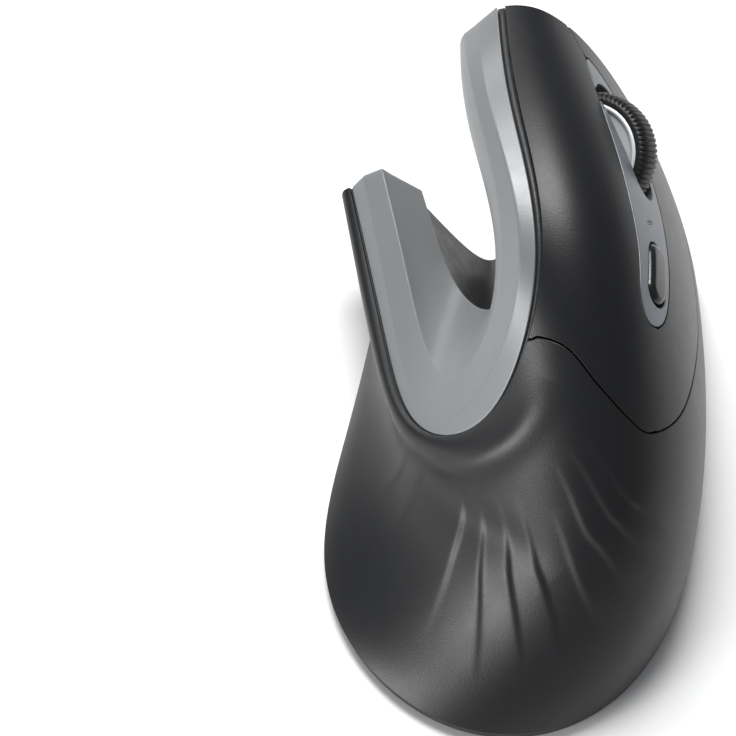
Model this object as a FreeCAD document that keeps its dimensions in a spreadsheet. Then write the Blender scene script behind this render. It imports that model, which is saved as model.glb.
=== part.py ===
import FreeCAD, Part
import math
import os
from FreeCAD import Vector, Placement, Rotation

# Right-handed vertical computer mouse.
# Millimetres, +Z up, fingers point along +Y, the palm side faces +X.
# The origin is on the ground under the middle of the mouse.

doc = FreeCAD.newDocument("vertical_mouse")
sheet = doc.addObject("Spreadsheet::Sheet", "dims")
sheet.Label = "dims"

DIMENSIONS = {
    "skin_thickness": 2.0, "trim_thickness": 1.5, "lining_thickness": 1.5,
    "panel_gap": 0.3, "plate_bottom": 0.8, "plate_thickness": 2.0, "plate_inset": 0.5,
    "shell_bottom": 3.0, "rake_start": 43.0, "rake_slope": 0.25,
    "cover_setback": 1.4, "cover_thickness": 1.6,
    "foot_thickness": 0.8, "front_foot_width": 36.0, "front_foot_length": 7.0,
    "rear_foot_width": 20.0, "rear_foot_length": 8.0, "side_foot_width": 7.0,
    "side_foot_length": 20.0, "ring_outer": 8.5, "ring_inner": 6.6, "ring_thickness": 0.5,
    "door_width": 17.6, "door_length": 54.0, "door_thickness": 1.5, "door_gap": 0.4,
    "cell_radius": 7.1, "cell_length": 49.0, "cell_nub_radius": 2.7, "cell_nub_height": 1.2,
    "contact_width": 11.0, "contact_height": 12.0, "contact_thickness": 0.5,
    "leaf_width": 6.0, "leaf_thickness": 0.6,
    "main_width": 24.0, "main_length": 40.0, "board_thickness": 1.2, "main_height": 8.0,
    "board_hole": 0.9,
    "sensor_width": 10.0, "sensor_length": 15.0, "sensor_height": 3.2,
    "lens_radius": 5.2, "lens_height": 2.2, "led_radius": 1.5, "led_length": 4.2,
    "radio_width": 8.0, "radio_length": 12.0, "radio_height": 1.6,
    "receiver_width": 14.4, "receiver_depth": 6.6, "receiver_cap": 6.0, "receiver_plug": 13.0,
    "plug_width": 12.0, "plug_depth": 4.5, "bay_wall": 1.2, "bay_gap": 0.3,
    "knob_width": 5.0, "knob_length": 5.5, "knob_height": 1.9, "knob_travel": 3.0,
    "slide_width": 5.0, "slide_length": 10.0, "slide_height": 3.4,
    "screw_head": 2.0, "screw_shank": 0.9, "screw_length": 7.0, "boss_radius": 2.6,
    "frame_thickness": 1.6, "frame_depth": 16.1, "palm_board_depth": 14.4,
    "switch_width": 5.8, "switch_length": 12.8, "switch_height": 5.4,
    "plunger_radius": 1.0, "plunger_height": 0.6, "key_post_radius": 1.6,
    "wheel_radius": 12.0, "wheel_width": 7.0, "tyre_depth": 2.2, "wheel_depth": 7.2,
    "axle_radius": 1.0, "axle_half": 8.0, "rib_count": 72.0, "rib_depth": 0.45,
    "carrier_wall": 1.6, "carrier_low": 10.6, "carrier_high": 5.2, "carrier_gap": 0.6,
    "tab_length": 7.0, "tab_thickness": 1.8,
    "tact_size": 5.0, "tact_height": 3.4,
    "encoder_width": 4.0, "encoder_length": 9.0, "encoder_height": 8.2, "encoder_bore": 1.8,
    "slot_width": 8.0, "slot_length": 24.5,
    "capsule_length": 12.6, "capsule_width": 6.4, "capsule_gap": 0.35, "capsule_rise": 0.7,
    "dash_length": 2.6, "dash_width": 0.7,
    "thumb_key_length": 15.0, "thumb_key_height": 6.0, "thumb_key_rise": 1.0,
    "thumb_key_gap": 0.4,
}

for row, (alias, value) in enumerate(DIMENSIONS.items(), start=1):
    sheet.set("A%d" % row, alias)
    sheet.set("B%d" % row, str(value))
    sheet.setAlias("B%d" % row, alias)
doc.recompute()


def dim(alias):
    """Driving dimension read from the sheet."""
    return float(sheet.get(alias))


# ---------------------------------------------------------------------------
# Frames.  The cage below is drawn about a working point that is then moved so
# that the middle of the mouse is over the origin.
# ---------------------------------------------------------------------------

CENTRE_X = 1.5
CENTRE_Y = 1.35


def at(x, y, z):
    return Vector(x - CENTRE_X, y - CENTRE_Y, z)


def on_rake(x, z):
    """Point of the leaning plane in which every front edge of the mouse ends."""
    return at(x, dim("rake_start") + dim("rake_slope") * z, z)


RAKE_NORMAL = Vector(0, 1, -dim("rake_slope")).normalize()

PALM_ORIGIN = at(20.8, 36.3, 62.5)
PALM_NORMAL = Vector(0.83, 0.115, 0.545).normalize()
palm_forward = Vector(-0.202, 0.973, 0.11)
PALM_FORWARD = (palm_forward - PALM_NORMAL * palm_forward.dot(PALM_NORMAL)).normalize()
PALM_ACROSS = PALM_FORWARD.cross(PALM_NORMAL)


def frame_placement(origin, across, forward, normal):
    matrix = FreeCAD.Matrix(across.x, forward.x, normal.x, origin.x,
                            across.y, forward.y, normal.y, origin.y,
                            across.z, forward.z, normal.z, origin.z, 0, 0, 0, 1)
    return Placement(matrix)


PALM = frame_placement(PALM_ORIGIN, PALM_ACROSS, PALM_FORWARD, PALM_NORMAL)

# Direction from which both finger keys are outlined.
KEY_NORMAL = Vector(0.35, -0.30, 0.89).normalize()
key_forward = Vector(0, 1, 0)
KEY_FORWARD = (key_forward - KEY_NORMAL * key_forward.dot(KEY_NORMAL)).normalize()
KEY_ACROSS = KEY_FORWARD.cross(KEY_NORMAL)
KEYS = frame_placement(at(18, 10, 60), KEY_ACROSS, KEY_FORWARD, KEY_NORMAL)

# Local frame of the wheel: X along its axle, Z out of the palm side.
WHEEL_ACROSS = 0.5
WHEEL_TURN = 12.0
WHEEL = PALM.multiply(Placement(Vector(WHEEL_ACROSS, 0, -dim("wheel_depth")),
                                Rotation(Vector(0, 0, 1), WHEEL_TURN)))

# ---------------------------------------------------------------------------
# Skin cage.  Thirteen ribs run from the U-shaped thumb edge to the ground.
# ---------------------------------------------------------------------------

EDGE_A = [on_rake(-3.2, 71), at(-2.8, 44, 74.2), at(0.2, 27, 76), at(2.9, 11, 75.5),
          at(2.6, -2.4, 69.5), at(-1, -11.6, 57), at(-6.2, -15.5, 46), at(-13.6, -14.2, 38),
          at(-19.2, -8, 33), at(-22.2, 2, 29.8), at(-24.5, 16, 27.5), at(-27.7, 34, 26.2),
          on_rake(-30.7, 26)]
EDGE_B = [on_rake(-7, 67), at(-6.6, 43, 73.8), at(-3.2, 26.5, 75.6), at(-0.1, 12, 75.3),
          at(-0.1, -0.5, 69), at(-3.3, -7.3, 57.5), at(-8, -10.8, 47), at(-13, -12.3, 40),
          at(-17.7, -6.2, 34.8), at(-20.5, 2, 31.8), at(-22.5, 14, 29.8), at(-25.3, 32.9, 29),
          on_rake(-28.5, 29)]
EDGE_C = [on_rake(-9.4, 64.7), at(-9, 44, 71.5), at(-5.4, 27, 73), at(-2.9, 12, 71),
          at(-3.5, 2.8, 63), at(-5.6, -1, 54.5), at(-9.2, -4.2, 46.5), at(-12.8, -4.3, 41.5),
          at(-15.6, 2.5, 37), at(-17.6, 11, 34.2), at(-19.6, 22.5, 32.4),
          at(-22.3, 38.5, 31.2), on_rake(-24.8, 31)]
EDGE_M = [on_rake(-11, 61.5), at(-12.2, 44, 65.5), at(-8.6, 28, 67), at(-5.6, 14, 65),
          at(-5.6, 7, 57), at(-6.5, 4.5, 49), at(-8.5, 5, 42), at(-11, 7.5, 36.5),
          at(-13.5, 14, 32.5), at(-15.2, 20.5, 31), at(-16.8, 29, 29.6), at(-19, 41, 28.2),
          on_rake(-21, 28)]
EDGE_D = [on_rake(-8.5, 58.5), at(-8, 44.5, 58), at(-4.5, 28, 59), at(-1.5, 15, 57.5),
          at(-1, 9, 53), at(-2.5, 9.5, 47.5), at(-5, 12.5, 40), at(-7.5, 17, 34.5),
          at(-10, 23, 30.5), at(-12, 28.8, 28.8), at(-13.3, 34, 27.3), at(-15.5, 43.5, 25.5),
          on_rake(-16.8, 25)]

RIB_TAILS = [
    [on_rake(2.0, 72.4), on_rake(8.6, 69.0), on_rake(16.3, 59.8), on_rake(24.2, 45.5),
     on_rake(31, 29.5), on_rake(36.3, 13), on_rake(38.4, 3)],
    [at(3.2, 44, 75.4), at(11, 43.5, 73), at(19, 42.5, 64.5), at(26.5, 41, 50),
     at(33, 39.5, 33.5), at(37.6, 38, 15.5), at(39, 37, 3)],
    [at(6.5, 27, 77.4), at(14.5, 26.5, 75), at(22.3, 25.5, 66), at(29.5, 24.5, 51),
     at(35.4, 23.5, 33.5), at(38.7, 22.5, 15.5), at(39.2, 22, 3)],
    [at(9.5, 11, 76.6), at(17.5, 10, 73.5), at(24.6, 8.5, 64), at(31.4, 7, 49.5),
     at(36.4, 5.5, 32.5), at(38.7, 4, 15), at(38.4, 3.5, 3)],
    [at(8.5, -4.5, 71.2), at(17, -7.5, 67.5), at(25.3, -10.5, 58), at(32.2, -13, 44),
     at(36, -15.5, 28.5), at(36.9, -18, 13), at(35.4, -19.5, 3)],
    [at(2, -14, 59.8), at(8.5, -19, 60.5), at(17.5, -25, 55), at(25.5, -32, 43.5),
     at(29.8, -38, 29), at(30.5, -42, 13), at(28.8, -43, 3)],
    [at(-4, -17.8, 48.6), at(-0.5, -22.5, 49.5), at(5, -30, 46), at(10.5, -39.5, 36.5),
     at(13, -49, 24), at(12, -56.5, 11), at(10.5, -58.8, 3)],
    [at(-13.2, -16.6, 39.6), at(-12, -19.6, 38.5), at(-10, -23.5, 32.5), at(-9, -32, 25.5),
     at(-9.5, -44, 17), at(-10.5, -55, 8), at(-11.5, -58.8, 3)],
    [at(-20.6, -9.8, 33.6), at(-21.2, -11.6, 31.5), at(-18.6, -14.5, 25),
     at(-19.5, -22.5, 17.5), at(-23.6, -33.8, 10.5), at(-27.4, -43.3, 5.5),
     at(-28.7, -45.2, 3)],
    [at(-24.2, 0.8, 30.3), at(-25, -0.4, 28), at(-22, -2.5, 21.5), at(-24.5, -9, 14.5),
     at(-30.4, -18, 8.5), at(-35.2, -25.5, 5), at(-37, -27, 3)],
    [at(-26.7, 15.2, 27.7), at(-27.7, 14.2, 25.2), at(-25, 13, 18.5), at(-26, 9.5, 12.5),
     at(-29.3, 4, 8), at(-33.6, -3.5, 5), at(-35.6, -6, 3)],
    [at(-29.8, 33.6, 26.2), at(-30.8, 33, 23.5), at(-27.6, 31.6, 17), at(-25.6, 29, 12),
     at(-25.8, 25, 8), at(-27.6, 20, 5), at(-28.6, 18, 3)],
    [on_rake(-32.7, 25.6), on_rake(-33.2, 23), on_rake(-29.5, 17), on_rake(-26.5, 12),
     on_rake(-24.7, 8), on_rake(-24.2, 5), on_rake(-24.2, 3)],
]
SKIN_CAGE = [[start] + tail for start, tail in zip(EDGE_A, RIB_TAILS)]
RIBS = len(SKIN_CAGE)
ROWS = len(SKIN_CAGE[0])
SEAM_START = 0.012


def knots(pole_count, degree):
    """Clamped, evenly spaced knots and their multiplicities."""
    spans = pole_count - degree
    values = [i / spans for i in range(spans + 1)]
    counts = [degree + 1] + [1] * (spans - 1) + [degree + 1]
    return values, counts


def greville(pole_count, degree):
    values, counts = knots(pole_count, degree)
    full = [v for v, c in zip(values, counts) for _ in range(c)]
    return [sum(full[i + 1:i + 1 + degree]) / degree for i in range(pole_count)]


def surface(poles, degree_u, degree_v):
    knots_u, counts_u = knots(len(poles), degree_u)
    knots_v, counts_v = knots(len(poles[0]), degree_v)
    made = Part.BSplineSurface()
    made.buildFromPolesMultsKnots(poles, counts_u, counts_v, knots_u, knots_v,
                                  False, False, degree_u, degree_v)
    return made


def curve(poles, degree=3):
    values, counts = knots(len(poles), degree)
    made = Part.BSplineCurve()
    made.buildFromPolesMultsKnots(poles, counts, values, False, degree)
    return made


SKIN = surface(SKIN_CAGE, 3, 3)
STATIONS = greville(RIBS, 3)
LEVELS = greville(ROWS, 3)


def flattened(direction, normal):
    """Unit vector left when the part of direction along normal is removed."""
    return (direction - normal * direction.dot(normal)).normalize()


SKIN_SIDE = 1 if SKIN.normal(0.2, 0.4).x > 0 else -1


def skin_normal(rib, row):
    """Outward normal at a cage pole, kept in the front plane and in the ground plane."""
    u = min(max(STATIONS[rib], 0.001), 0.999)
    v = min(max(LEVELS[row], 0.001), 0.999)
    made = SKIN.normal(u, v) * SKIN_SIDE
    on_front = rib in (0, RIBS - 1)
    on_ground = row == ROWS - 1
    if on_front and on_ground:
        return Vector(1 if rib == 0 else -1, 0, 0)
    if on_front:
        return flattened(made, RAKE_NORMAL)
    if on_ground:
        return flattened(made, Vector(0, 0, 1))
    return made


def skin_cage(distance):
    """Cage of the skin moved outwards by distance."""
    return [[pole + skin_normal(i, j) * distance for j, pole in enumerate(rib)]
            for i, rib in enumerate(SKIN_CAGE)]


def closed_solid(faces):
    group = Part.Compound(faces)
    group.sewShape()
    made = Part.Solid(group.Shells[0])
    if made.Volume < 0:
        made.reverse()
    return made


def boundary(surf):
    u0, u1, v0, v1 = surf.bounds()
    return [surf.uIso(u0), surf.vIso(v1), surf.uIso(u1), surf.vIso(v0)]


def ruled(first, second):
    """Straight-sided strip between two curves that share their knots."""
    poles = [[a, b] for a, b in zip(first.getPoles(), second.getPoles())]
    made = Part.BSplineSurface()
    made.buildFromPolesMultsKnots(poles, first.getMultiplicities(), [2, 2], first.getKnots(),
                                  [0, 1], False, False, first.Degree, 1)
    return made.toShape()


def sheet_solid(outer, inner):
    """Solid between two surfaces that share their parameters."""
    sides = [ruled(a, b) for a, b in zip(boundary(outer), boundary(inner))]
    return closed_solid([outer.toShape(), inner.toShape()] + sides)


def skin_solid(outer_distance, inner_distance):
    outer = surface(skin_cage(outer_distance), 3, 3)
    inner = surface(skin_cage(inner_distance), 3, 3)
    for surf in (outer, inner):
        surf.segment(0, 1, SEAM_START, 1)
    return sheet_solid(outer, inner)


# ---------------------------------------------------------------------------
# Outlines and prisms
# ---------------------------------------------------------------------------

def polyline(points):
    return Part.makePolygon(points + [points[0]])


def smooth_wire(points):
    made = Part.BSplineCurve()
    made.interpolate(points, PeriodicFlag=True)
    return Part.Wire(made.toShape())


def prism(wire, low, high):
    face = Part.Face(wire)
    face.translate(Vector(0, 0, low))
    return face.extrude(Vector(0, 0, high - low))


def placed(shape, placement):
    made = shape.copy()
    made.Placement = placement.multiply(made.Placement)
    return made


def block(x0, x1, y0, y1, z0, z1):
    return Part.makeBox(x1 - x0, y1 - y0, z1 - z0, Vector(x0, y0, z0))


def capsule_wire(length, width, centre, turn):
    """Slot outline with round ends, long axis along Y before turning."""
    half = (length - width) / 2
    r = width / 2
    arcs = [Part.Arc(Vector(r, half, 0), Vector(0, half + r, 0), Vector(-r, half, 0)),
            Part.LineSegment(Vector(-r, half, 0), Vector(-r, -half, 0)),
            Part.Arc(Vector(-r, -half, 0), Vector(0, -half - r, 0), Vector(r, -half, 0)),
            Part.LineSegment(Vector(r, -half, 0), Vector(r, half, 0))]
    wire = Part.Wire([a.toShape() for a in arcs])
    wire.Placement = Placement(centre, Rotation(Vector(0, 0, 1), turn))
    return wire


def rounded_box(width, length, height, radius):
    made = Part.makeBox(width, length, height, Vector(-width / 2, -length / 2, 0))
    upright = [e for e in made.Edges
               if abs(e.Vertexes[0].Z - e.Vertexes[1].Z) > height / 2]
    return made.makeFillet(radius, upright)


nodes = {}


def feature(label, shape, placement=None):
    """Named document object holding one finished piece."""
    made = doc.addObject("Part::Feature", label)
    made.Label = label
    made.Shape = shape
    if placement is not None:
        made.Placement = placement.multiply(made.Placement)
    nodes[label] = made
    return made


def expression_body(label, placement, thickness, build_sketch):
    """PartDesign body with one padded sketch whose sizes follow the sheet."""
    body = doc.addObject("PartDesign::Body", label)
    body.Label = label
    sketch = doc.addObject("Sketcher::SketchObject", label + "_outline")
    body.addObject(sketch)
    build_sketch(sketch)
    pad = doc.addObject("PartDesign::Pad", label + "_pad")
    body.addObject(pad)
    pad.Profile = sketch
    pad.setExpression("Length", "dims." + thickness)
    body.Tip = pad
    body.Placement = placement
    nodes[label] = body
    return body


def rectangle(width, length):
    """Sketch builder for a rectangle centred on the sketch origin."""
    import Sketcher

    def build(sketch):
        w = dim(width) / 2
        h = dim(length) / 2
        corners = [Vector(-w, -h, 0), Vector(w, -h, 0), Vector(w, h, 0), Vector(-w, h, 0)]
        for i in range(4):
            sketch.addGeometry(Part.LineSegment(corners[i], corners[(i + 1) % 4]), False)
        for i in range(4):
            sketch.addConstraint(Sketcher.Constraint("Coincident", i, 2, (i + 1) % 4, 1))
        sketch.addConstraint(Sketcher.Constraint("Horizontal", 0))
        sketch.addConstraint(Sketcher.Constraint("Horizontal", 2))
        sketch.addConstraint(Sketcher.Constraint("Vertical", 1))
        sketch.addConstraint(Sketcher.Constraint("Vertical", 3))
        sketch.addConstraint(Sketcher.Constraint("Symmetric", 0, 1, 1, 2, -1, 1))
        across = sketch.addConstraint(Sketcher.Constraint("DistanceX", 0, 1, 0, 2, 2 * w))
        along = sketch.addConstraint(Sketcher.Constraint("DistanceY", 1, 1, 1, 2, 2 * h))
        sketch.setExpression("Constraints[%d]" % across, "dims." + width)
        sketch.setExpression("Constraints[%d]" % along, "dims." + length)
    return build


def circles(*radii):
    """Sketch builder for one disc or a ring about the sketch origin."""
    import Sketcher

    def build(sketch):
        for radius in radii:
            made = sketch.addGeometry(Part.Circle(Vector(0, 0, 0), Vector(0, 0, 1), dim(radius)))
            sketch.addConstraint(Sketcher.Constraint("Coincident", made, 3, -1, 1))
            size = sketch.addConstraint(Sketcher.Constraint("Radius", made, dim(radius)))
            sketch.setExpression("Constraints[%d]" % size, "dims." + radius)
    return build


def with_holes(build_outline, spots, radius):
    """Sketch builder that adds round holes to another outline."""
    def build(sketch):
        build_outline(sketch)
        for spot in spots:
            sketch.addGeometry(Part.Circle(spot, Vector(0, 0, 1), dim(radius)))
    return build


# ---------------------------------------------------------------------------
# Skin panels
# ---------------------------------------------------------------------------

def key_point(x, y, z):
    """Skin point expressed in the plane the keys are outlined in."""
    local = KEYS.inverse().multVec(at(x, y, z))
    return Vector(local.x, local.y, 0)


# Rear and lower seam of the finger keys, from the thumb edge round to the front.
KEY_SEAM = [key_point(-9.0, -4.0, 60.5), key_point(0.8, -7.1, 62.9), key_point(3.5, -7.6, 64.7),
            key_point(8.8, -10.3, 64.8), key_point(14.2, -15.4, 60.7),
            key_point(20.1, -19.3, 54.9), key_point(24.3, -19.6, 50.7),
            key_point(29.9, -13.1, 45.5), key_point(33.7, 0, 39.6), key_point(36.1, 17.6, 31.5),
            key_point(35.5, 36, 28.5), key_point(33.5, 60, 27.0)]


def key_outline(grow):
    """Closed outline of both keys, moved outwards by grow along the seam."""
    seam = Part.BSplineCurve()
    seam.interpolate(KEY_SEAM)
    u0, u1 = seam.FirstParameter, seam.LastParameter
    points = []
    for i in range(61):
        t = u0 + (u1 - u0) * i / 60
        side = seam.tangent(t)[0].cross(Vector(0, 0, 1)).normalize()
        points.append(seam.value(t) + side * grow)
    edge = Part.BSplineCurve()
    edge.interpolate(points)
    ahead = [points[-1] + Vector(0, 30, 0), points[0] + Vector(0, 90, 0)]
    lines = [Part.LineSegment(a, b).toShape()
             for a, b in zip([points[-1]] + ahead, ahead + [points[0]])]
    return Part.Wire([edge.toShape()] + lines)


STRIP_STEPS = 36
STRIP_LEFT = [(-4.8, 11.5), (-6.1, 4), (-7.0, -5), (-7.6, -15), (-7.6, -25), (-7.8, -33)]
STRIP_RIGHT = [(-5.6, -38.0), (-1.5, -38.4), (2.0, -35), (5.2, -27), (7.6, -18), (8.8, -9),
               (8.2, 0), (5.6, 8), (1.6, 14.2), (-2.6, 17.8)]


def strip_outline(grow):
    """Leaf-shaped outline of the grey strip, moved outwards by grow."""
    base = Part.BSplineCurve()
    base.interpolate([Vector(p, q, 0) for p, q in STRIP_LEFT + STRIP_RIGHT], PeriodicFlag=True)
    first, last = base.FirstParameter, base.LastParameter
    points = []
    for i in range(STRIP_STEPS):
        t = first + (last - first) * i / STRIP_STEPS
        side = base.tangent(t)[0].cross(Vector(0, 0, 1)).normalize()
        points.append(base.value(t) + side * grow)
    return smooth_wire(points)


def half_region(side):
    """Half of the palm plane on one side of the line between the keys."""
    gap = side * dim("panel_gap") / 2
    line = [(-7.5, 60), (-4.2, 24), (-3.0, 17), (-2.0, -38), (1.0, -57), (3.0, -90)]
    points = [Vector(p + gap, q, 0) for p, q in line]
    far = 90 * side
    return polyline(points + [Vector(far, -90, 0), Vector(far, 60, 0)])


skin = skin_solid(0, -dim("skin_thickness"))
proud_skin = skin_solid(dim("capsule_rise"), -dim("skin_thickness") - 1.5)

key_prism = placed(prism(key_outline(0), -46, 60), KEYS)
key_hole = placed(prism(key_outline(dim("panel_gap")), -46, 60), KEYS)
strip_prism = placed(prism(strip_outline(0), -9, 9), PALM)
strip_hole = placed(prism(strip_outline(dim("panel_gap")), -9, 9), PALM)

CAPSULE_CENTRE = Vector(-1.0, -28.4, 0)
CAPSULE_TURN = -14.0
DASH_CENTRE = Vector(-0.7, -18.0, 0)
DASH_TURN = 106.0


def capsule_prism(grow, low, high):
    wire = capsule_wire(dim("capsule_length") + 2 * grow, dim("capsule_width") + 2 * grow,
                        CAPSULE_CENTRE, CAPSULE_TURN)
    return placed(prism(wire, low, high), PALM)


def dash_prism(grow):
    wire = capsule_wire(dim("dash_length") + 2 * grow, dim("dash_width") + 2 * grow,
                        DASH_CENTRE, DASH_TURN)
    return placed(prism(wire, -6, 4), PALM)


wheel_slot_wire = capsule_wire(dim("slot_length"), dim("slot_width"),
                               Vector(WHEEL_ACROSS, 0, 0), WHEEL_TURN)
wheel_slot = placed(prism(wheel_slot_wire, -9, 9), PALM)


def part_below_skin(column, direction):
    """Piece of a long column that lies under the skin, ready to be joined to it."""
    pieces = column.cut(skin).Solids
    return min(pieces, key=lambda piece: piece.CenterOfMass.dot(direction))


BOARD_TOP = -dim("palm_board_depth") + dim("board_thickness")


def key_post(p, q):
    """Post under a key that reaches down to its switch plunger."""
    low = BOARD_TOP + dim("switch_height") + dim("plunger_height") + KEY_PLAY
    post = Part.makeCylinder(dim("key_post_radius"), 12, Vector(p, q, low))
    return part_below_skin(placed(post, PALM), PALM_NORMAL)


KEY_PLAY = 0.8
LEFT_SWITCH = (-11.5, 1.0)
RIGHT_SWITCH = (14.5, 0.0)
keys_blank = skin.common(key_prism)
back_shell = skin.cut(key_hole)
strip_blank = keys_blank.common(strip_prism)
keys_open = keys_blank.cut(strip_hole)


def finger_key(side, switch):
    region = placed(prism(half_region(side), -60, 30), PALM)
    plate = keys_open.common(region)
    return plate.fuse(key_post(*switch))


def largest_solid(shape):
    return max(shape.Solids, key=lambda s: s.Volume)


strip = strip_blank.cut(wheel_slot).cut(capsule_prism(dim("capsule_gap"), -9, 9))
strip = strip.cut(dash_prism(0.02))

REAR_BOSSES = [(26, -32), (3, -47), (-24, -14)]


def screw_boss(x, y, top):
    """Tube with a thread bore, standing just above the base plate."""
    low = dim("shell_bottom")
    tube = Part.makeCylinder(dim("boss_radius"), top - low, Vector(x, y, low))
    bore = Part.makeCylinder(dim("screw_shank") + 0.1, dim("screw_length"), Vector(x, y, low))
    return tube, bore


shell_with_bosses = largest_solid(back_shell)
for x, y in REAR_BOSSES:
    tube, bore = screw_boss(x, y, 60)
    tube = part_below_skin(tube, Vector(0, 0, 1))
    shell_with_bosses = shell_with_bosses.fuse(tube).cut(bore)

feature("back_shell", shell_with_bosses)
feature("left_button", largest_solid(finger_key(-1, LEFT_SWITCH)))
feature("right_button", largest_solid(finger_key(1, RIGHT_SWITCH)))
feature("centre_strip", largest_solid(strip))
dpi_cap = largest_solid(proud_skin.common(capsule_prism(0, -9, 9)))
dpi_stem = Part.makeCylinder(1.5, 5.2, Vector(CAPSULE_CENTRE.x, CAPSULE_CENTRE.y,
                                              BOARD_TOP + dim("tact_height") + 0.8))
feature("dpi_button", dpi_cap.fuse(placed(dpi_stem, PALM)))
feature("indicator_light", largest_solid(skin.common(dash_prism(0))))


# ---------------------------------------------------------------------------
# Thumb side: U-shaped trim, lining of the thumb hollow and front covers
# ---------------------------------------------------------------------------

TRIM_EDGES = [EDGE_A, EDGE_B, EDGE_C, EDGE_M, EDGE_D]


def along_edge(edge, i):
    low = max(i - 1, 0)
    high = min(i + 1, RIBS - 1)
    return edge[high] - edge[low]


def facet_inward(first, second, i):
    """Unit vector from the trim facet between two edges into the body."""
    across = second[i] - first[i]
    made = along_edge(first, i).cross(across).normalize()
    if i in (0, RIBS - 1):
        made = flattened(made, RAKE_NORMAL)
    return made


def shifted(edge, first, second, distance):
    return [pole + facet_inward(first, second, i) * distance for i, pole in enumerate(edge)]


trim_t = dim("trim_thickness")
BACK_A = [pole - skin_normal(i, 0) * trim_t for i, pole in enumerate(EDGE_A)]
BACK_C = shifted(EDGE_C, EDGE_A, EDGE_D, trim_t)
BACK_D = shifted(EDGE_D, EDGE_M, EDGE_D, trim_t)
LINING_EDGE = shifted(EDGE_D, EDGE_M, EDGE_D, trim_t + 0.45)


def strip_face(*edges):
    poles = [list(station) for station in zip(*edges)]
    return surface(poles, 3, len(edges) - 1).toShape()


def trim_end(i):
    outline = [Part.LineSegment(EDGE_A[i], EDGE_B[i]), Part.LineSegment(EDGE_B[i], EDGE_C[i]),
               curve([EDGE_C[i], EDGE_M[i], EDGE_D[i]], 2),
               Part.LineSegment(EDGE_D[i], BACK_D[i]), Part.LineSegment(BACK_D[i], BACK_C[i]),
               Part.LineSegment(BACK_C[i], BACK_A[i]), Part.LineSegment(BACK_A[i], EDGE_A[i])]
    return Part.Face(Part.Wire([side.toShape() for side in outline]))


trim_faces = [strip_face(EDGE_A, EDGE_B), strip_face(EDGE_B, EDGE_C),
              strip_face(EDGE_C, EDGE_M, EDGE_D), strip_face(EDGE_D, BACK_D),
              strip_face(BACK_D, BACK_C), strip_face(BACK_C, BACK_A), strip_face(BACK_A, EDGE_A),
              trim_end(0), trim_end(RIBS - 1)]
feature("thumb_trim", closed_solid(trim_faces))

lining_rim = curve(LINING_EDGE)
REAR_U = 0.42
FRONT_POLES = [LINING_EDGE[0], on_rake(-3.2, 61.5), on_rake(0.0, 58.0), on_rake(0.4, 50),
               on_rake(1.2, 38), on_rake(1.4, 22), on_rake(1.2, 9.5), on_rake(-3.0, 3.9),
               on_rake(-8.2, 9.0), LINING_EDGE[-1]]
lining_front = curve(FRONT_POLES)


def lining_point(s, t):
    """Coons patch: s runs from the front to the rear, t from the roof to the floor."""
    roof = lining_rim.value(REAR_U * s)
    floor = lining_rim.value(1 - REAR_U * s)
    front = lining_front.value(t)
    rear = lining_rim.value(REAR_U + (1 - 2 * REAR_U) * t)
    sides = front * (1 - s) + rear * s + roof * (1 - t) + floor * t
    corners = (lining_rim.value(0) * ((1 - s) * (1 - t)) + lining_rim.value(1) * ((1 - s) * t)
               + lining_rim.value(REAR_U) * (s * (1 - t))
               + lining_rim.value(1 - REAR_U) * (s * t))
    return sides - corners


LINING_S = 9
LINING_END = 0.94
LINING_T = 19


def lining_away(s, t):
    """Unit vector out of the hollow, into the body."""
    step = 0.01
    s0, s1 = max(s - step, 0), min(s + step, 1)
    t0, t1 = max(t - step, 0), min(t + step, 1)
    along = lining_point(s1, t) - lining_point(s0, t)
    around = lining_point(s, t1) - lining_point(s, t0)
    made = along.cross(around).normalize()
    if s == 0:
        made = flattened(made, RAKE_NORMAL)
    return made


def lining_surface(distance):
    """Lining moved by distance away from the hollow."""
    grid = []
    for i in range(LINING_S):
        s = LINING_END * i / (LINING_S - 1)
        row = []
        for j in range(LINING_T):
            t = j / (LINING_T - 1)
            row.append(lining_point(s, t) + lining_away(s, t) * distance)
        grid.append(row)
    return surface(grid, 3, 3)


lining_face = lining_surface(0)
lining_back = lining_surface(dim("lining_thickness"))
lining = sheet_solid(lining_face, lining_back)

# Thumb buttons in the upper wall of the hollow.
proud_lining = sheet_solid(lining_surface(-dim("thumb_key_rise")),
                           lining_surface(dim("lining_thickness") + 1.0))
THUMB_KEYS = {"back_button": (19.0, 40.0), "forward_button": (36.5, 41.0)}
THUMB_FRAME = Placement(Vector(0, 0, 0), Rotation(Vector(0, 1, 0), 90))


def thumb_prism(y, z, grow):
    wire = capsule_wire(dim("thumb_key_length") + 2 * grow, dim("thumb_key_height") + 2 * grow,
                        Vector(-z, y, 0), 0)
    return placed(prism(wire, -8, 9), THUMB_FRAME)


for label, (y, z) in THUMB_KEYS.items():
    lining = lining.cut(thumb_prism(y, z, dim("thumb_key_gap")))
    feature(label, largest_solid(proud_lining.common(thumb_prism(y, z, 0))))
feature("thumb_panel", largest_solid(lining))


def plane_curve(points):
    """Smooth open edge through points of the front plane."""
    made = Part.BSplineCurve()
    made.interpolate(points)
    return made.toShape()


def inset_points(edge, low, high, count, distance):
    """Points along an edge moved sideways inside the leaning front plane."""
    points = []
    for i in range(count):
        t = low + (high - low) * i / (count - 1)
        side = edge.tangent(t)[0].cross(RAKE_NORMAL).normalize()
        points.append(edge.value(t) + side * distance)
    return points


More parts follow.
